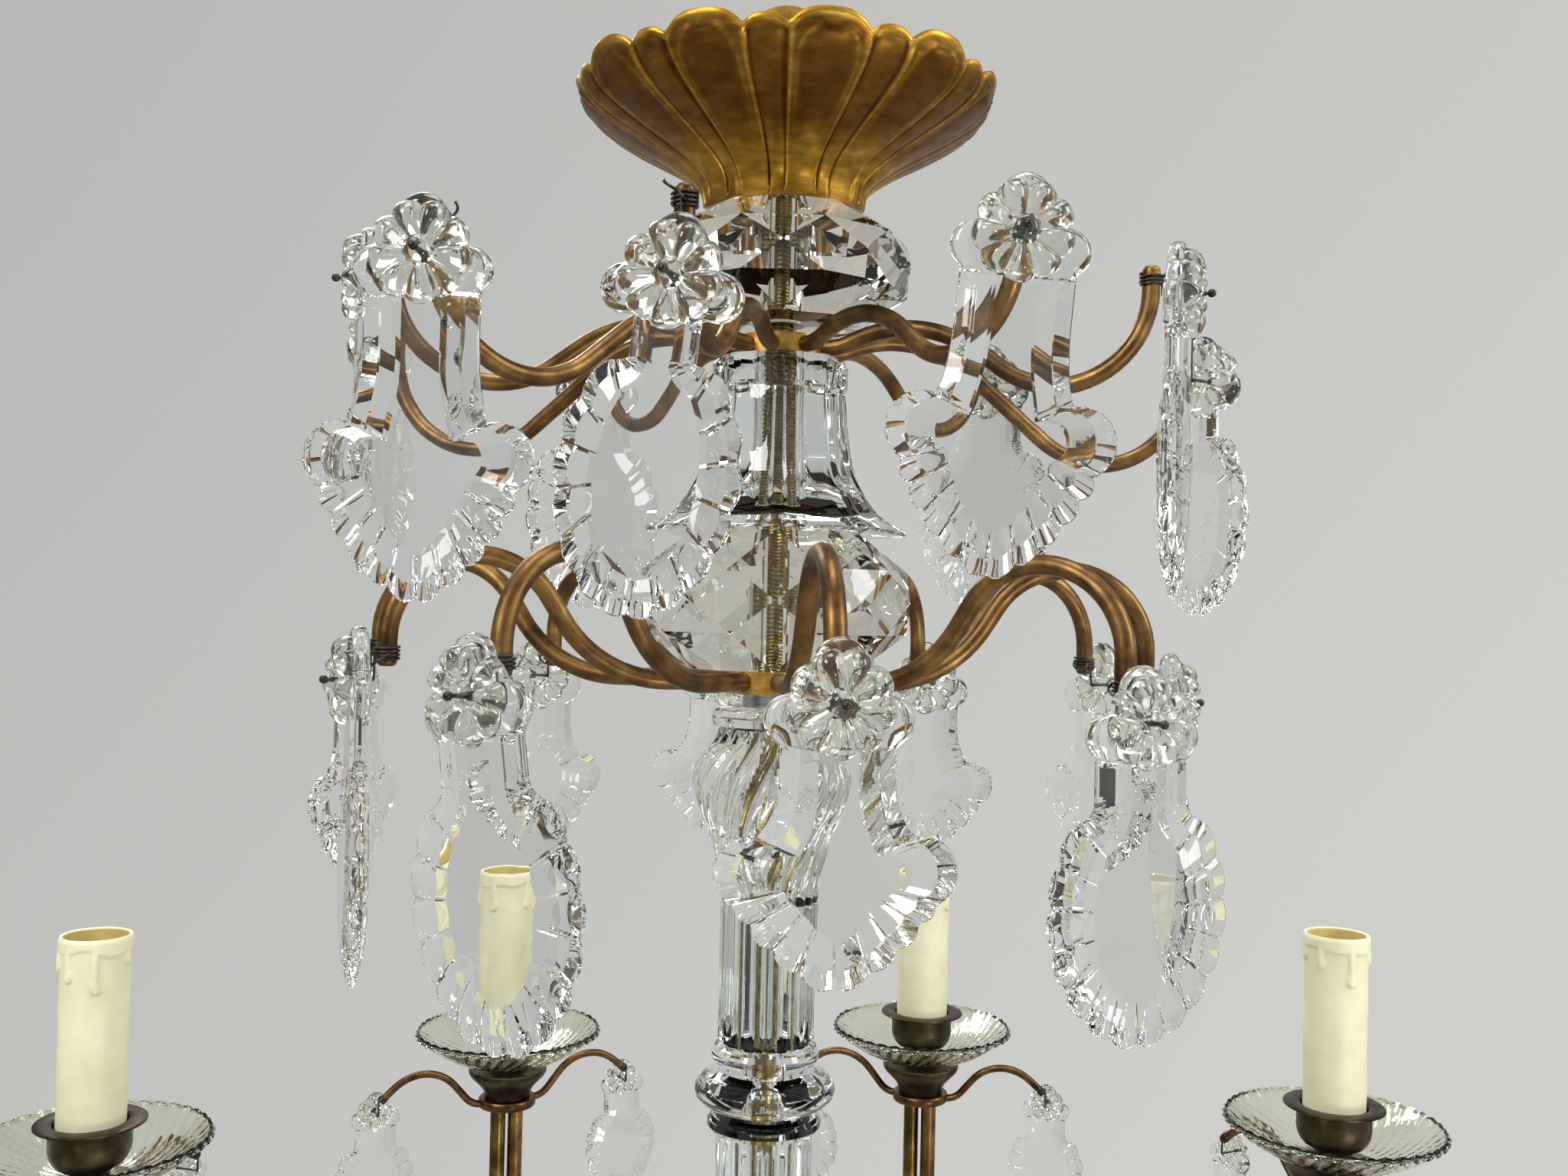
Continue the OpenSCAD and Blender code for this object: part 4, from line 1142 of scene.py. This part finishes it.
def candles():
    """Each candle's bowl, sleeve, seat and cup; the first of each takes the CAD node's place."""
    dish = bobeche_mesh()
    sleeves = [sleeve_mesh(seed) for seed in (3, 8, 21, 34)]
    seat = lathe_mesh("cup_seat_turned", SEAT_PROFILE)
    cup = lathe_mesh("candle_cup_turned", CUP_PROFILE)
    for k in range(CANDLES):
        here = at_candle(k)
        level = Matrix.Translation(here.translation)
        spun = here @ Matrix.Rotation(2.1 * k, 4, "Z")
        for me, name, material, base, z, slot in (
            (dish, "bobeche", DISH, level, Z_BOBECHE, "crystal"),
            (sleeves[k % 4], "candle_sleeve", SLEEVE, spun, Z_SLEEVE, "sleeve"),
            (seat, "cup_seat", BRONZE, here, Z_PLATE, "bronze"),
            (cup, "candle_cup", BRONZE, here, Z_CUP, "bronze"),
        ):
            placed = base @ Matrix.Translation((0, 0, z))
            node = None if k else name + "s"
            place(me, f"{name}_{k + 1}", material, slot, node, placed=placed)


def aim(obj, centre, at, front):
    """Stands an object of the studio at a place, its front turned to a point, in metres."""
    obj.location = centre
    obj.rotation_euler = (Vector(at) - Vector(centre)).to_track_quat(front, "Y").to_euler()


def turn_clear(mat, share, output):
    """Mixes a stage material with clear, by a node's output that is 1 for all clear."""
    tree = mat.node_tree
    mix = add_node(tree, "MixShader")
    join(share, output, mix, "Fac")
    join(tree.nodes["Principled BSDF"], "BSDF", mix, 1)
    join(add_node(tree, "BsdfTransparent"), "BSDF", mix, 2)
    join(mix, "Shader", tree.nodes["Material Output"], "Surface")


def fade_out(mat, near, far):
    """Lets a floor's material turn clear between two distances from its middle."""
    coord = add_node(mat.node_tree, "TexCoord")
    length = add_node(mat.node_tree, "VectorMath", "LENGTH")
    share = add_node(mat.node_tree, "MapRange", From_Min=near, From_Max=far)
    share.interpolation_type = "SMOOTHSTEP"
    join(coord, "Object", length, 0)
    join(length, "Value", share, "Value")
    turn_clear(mat, share, "Result")


def only_in_reflections(mat):
    """Leaves a flag to reflections, so that it doesn't stand behind the glass as a grey wall."""
    path = add_node(mat.node_tree, "LightPath")
    direct = add_node(mat.node_tree, "Math", "LESS_THAN")
    direct.inputs[1].default_value = 0.5
    join(path, "Glossy Depth", direct, 0)
    turn_clear(mat, direct, "Value")


def flag(name, centre, size, material):
    """A dark card that only reflections see."""
    me = bpy.data.meshes.new(name)
    w, h = size[0] / 2, size[1] / 2
    me.from_pydata([(-w, -h, 0), (w, -h, 0), (w, h, 0), (-w, h, 0)], [], [(0, 1, 2, 3)])
    me.materials.append(material)
    obj = add_object(name, me)
    aim(obj, centre, (0, 0, -0.25), "Z")
    obj.visible_camera = obj.visible_diffuse = obj.visible_shadow = False


def area_light(name, centre, size, power, colour=(1, 1, 1)):
    data = bpy.data.lights.new(name, "AREA")
    data.shape = "RECTANGLE"
    data.size, data.size_y = size
    data.energy = power
    data.color = colour
    obj = add_object(name, data)
    aim(obj, centre, (0, 0, -0.2), "-Z")
    obj.visible_camera = False


def wall():
    """A pale grey world, a little lighter to one side and below."""
    world = bpy.data.worlds.new("studio_wall")
    bpy.context.scene.world = world
    world.use_nodes = True
    tree = world.node_tree
    background = tree.nodes["Background"]
    background.inputs["Strength"].default_value = 1.0
    coord = add_node(tree, "TexCoord")
    shade = add_node(tree, "VectorMath", "DOT_PRODUCT")
    shade.inputs[1].default_value = (0.5, 0.0, -0.35)
    lift = add_node(tree, "Math", "ADD")
    lift.inputs[1].default_value = 0.5
    ramp = colour_ramp(tree, tints([(0.2, 186, 186, 184), (0.75, 206, 206, 203)]))
    join(coord, "Generated", shade, 0)
    join(shade, "Value", lift, 0)
    join(lift, "Value", ramp, "Fac")
    join(ramp, "Color", background, "Color")


def floor():
    """A pale round floor that fades out at its rim."""
    pale = matt("floor_pale", [(0.35, 198, 198, 195), (0.65, 204, 204, 201)], 3, (0.7, 0.85))
    fade_out(pale, 1.2, 1.75)
    sides = 96
    me = mesh_of(Shape().add(ring_points(1800, 0, sides), [tuple(range(sides))]), "floor", 0)
    me.materials.append(pale)
    obj = add_object("floor", me)
    obj.location = (0, 0, -1.6)


def studio():
    scene = bpy.context.scene
    scene.view_settings.view_transform = "Standard"
    wall()
    floor()
    dark = matt("flag_dark", [(0.35, 66, 63, 58), (0.65, 84, 81, 76)], 3, (0.7, 0.85))
    brown = matt("flag_brown", [(0.35, 104, 90, 72), (0.65, 130, 114, 92)], 3, (0.7, 0.85))
    only_in_reflections(dark)
    only_in_reflections(brown)
    flag("flag_left", (-1.75, -0.7, -0.2), (1.1, 1.7), dark)
    flag("flag_right", (1.75, -0.9, -0.25), (0.8, 1.6), dark)
    flag("flag_behind", (0.35, -2.1, -0.25), (1.3, 1.5), dark)
    flag("flag_far_left", (-1.46, 1.36, -0.2), (0.75, 2.2), brown)
    flag("flag_far_right", (1.52, 1.26, -0.2), (0.6, 2.2), dark)
    flag("flag_top", (0.1, 1.35, 1.15), (1.7, 0.55), dark)
    flag("flag_low", (-0.1, 1.0, -1.3), (1.6, 0.5), brown)
    area_light("key", (-1.25, -1.35, 0.95), (0.7, 0.9), 27, (1.0, 0.99, 0.97))
    area_light("fill", (1.55, -0.35, 0.55), (0.5, 1.1), 15, (0.97, 0.99, 1.0))
    area_light("top", (0.1, -0.15, 1.5), (1.0, 0.7), 16)
    area_light("low_front", (0.9, -1.2, -0.85), (0.35, 0.3), 6)
    area_light("back", (-0.7, 1.25, 0.95), (0.6, 0.6), 12)

    # The lens, the place and the turn that were solved from the photograph.
    camera = bpy.data.cameras.new("camera")
    camera.sensor_width = 36.0
    camera.lens = 33.54
    obj = add_object("camera", camera)
    turn = turned(-0.335) @ turned(91.02, "X") @ turned(1.24)
    obj.matrix_world = Matrix.Translation((0, -0.476, -0.130 + Z_CANOPY * MM)) @ turn
    scene.camera = obj
    cycles = scene.cycles
    cycles.max_bounces, cycles.transmission_bounces = 18, 16
    cycles.glossy_bounces, cycles.diffuse_bounces = 8, 3
    cycles.caustics_reflective = cycles.caustics_refractive = False


studio()
canopy()
cut_ball("upper_ball", Z_UPPER_BALL, UPPER_BALL_H, UPPER_BALL_R, BALL, recess=True)
cut_ball("lower_ball", Z_LOWER_BALL, LOWER_BALL_H, LOWER_BALL_R, BALL, recess=True)
cut_ball("bottom_ball", Z_BOTTOM_BALL, BOTTOM_BALL_H, BOTTOM_BALL_R, COLUMN)
bell()
baluster()
columns()
stem()
rods()
hooks()
ties()
crystals()
candles()
for node, material in (
    ("suspension_eye", GILT), ("stem_nuts", STEEL), ("upper_hub", GILT), ("lower_hub", GILT),
    ("arm_hub", GILT), ("bottom_finial", GILT), ("lampholders", HOLDER),
):
    repaint(node, material)

bpy.context.view_layer.update()
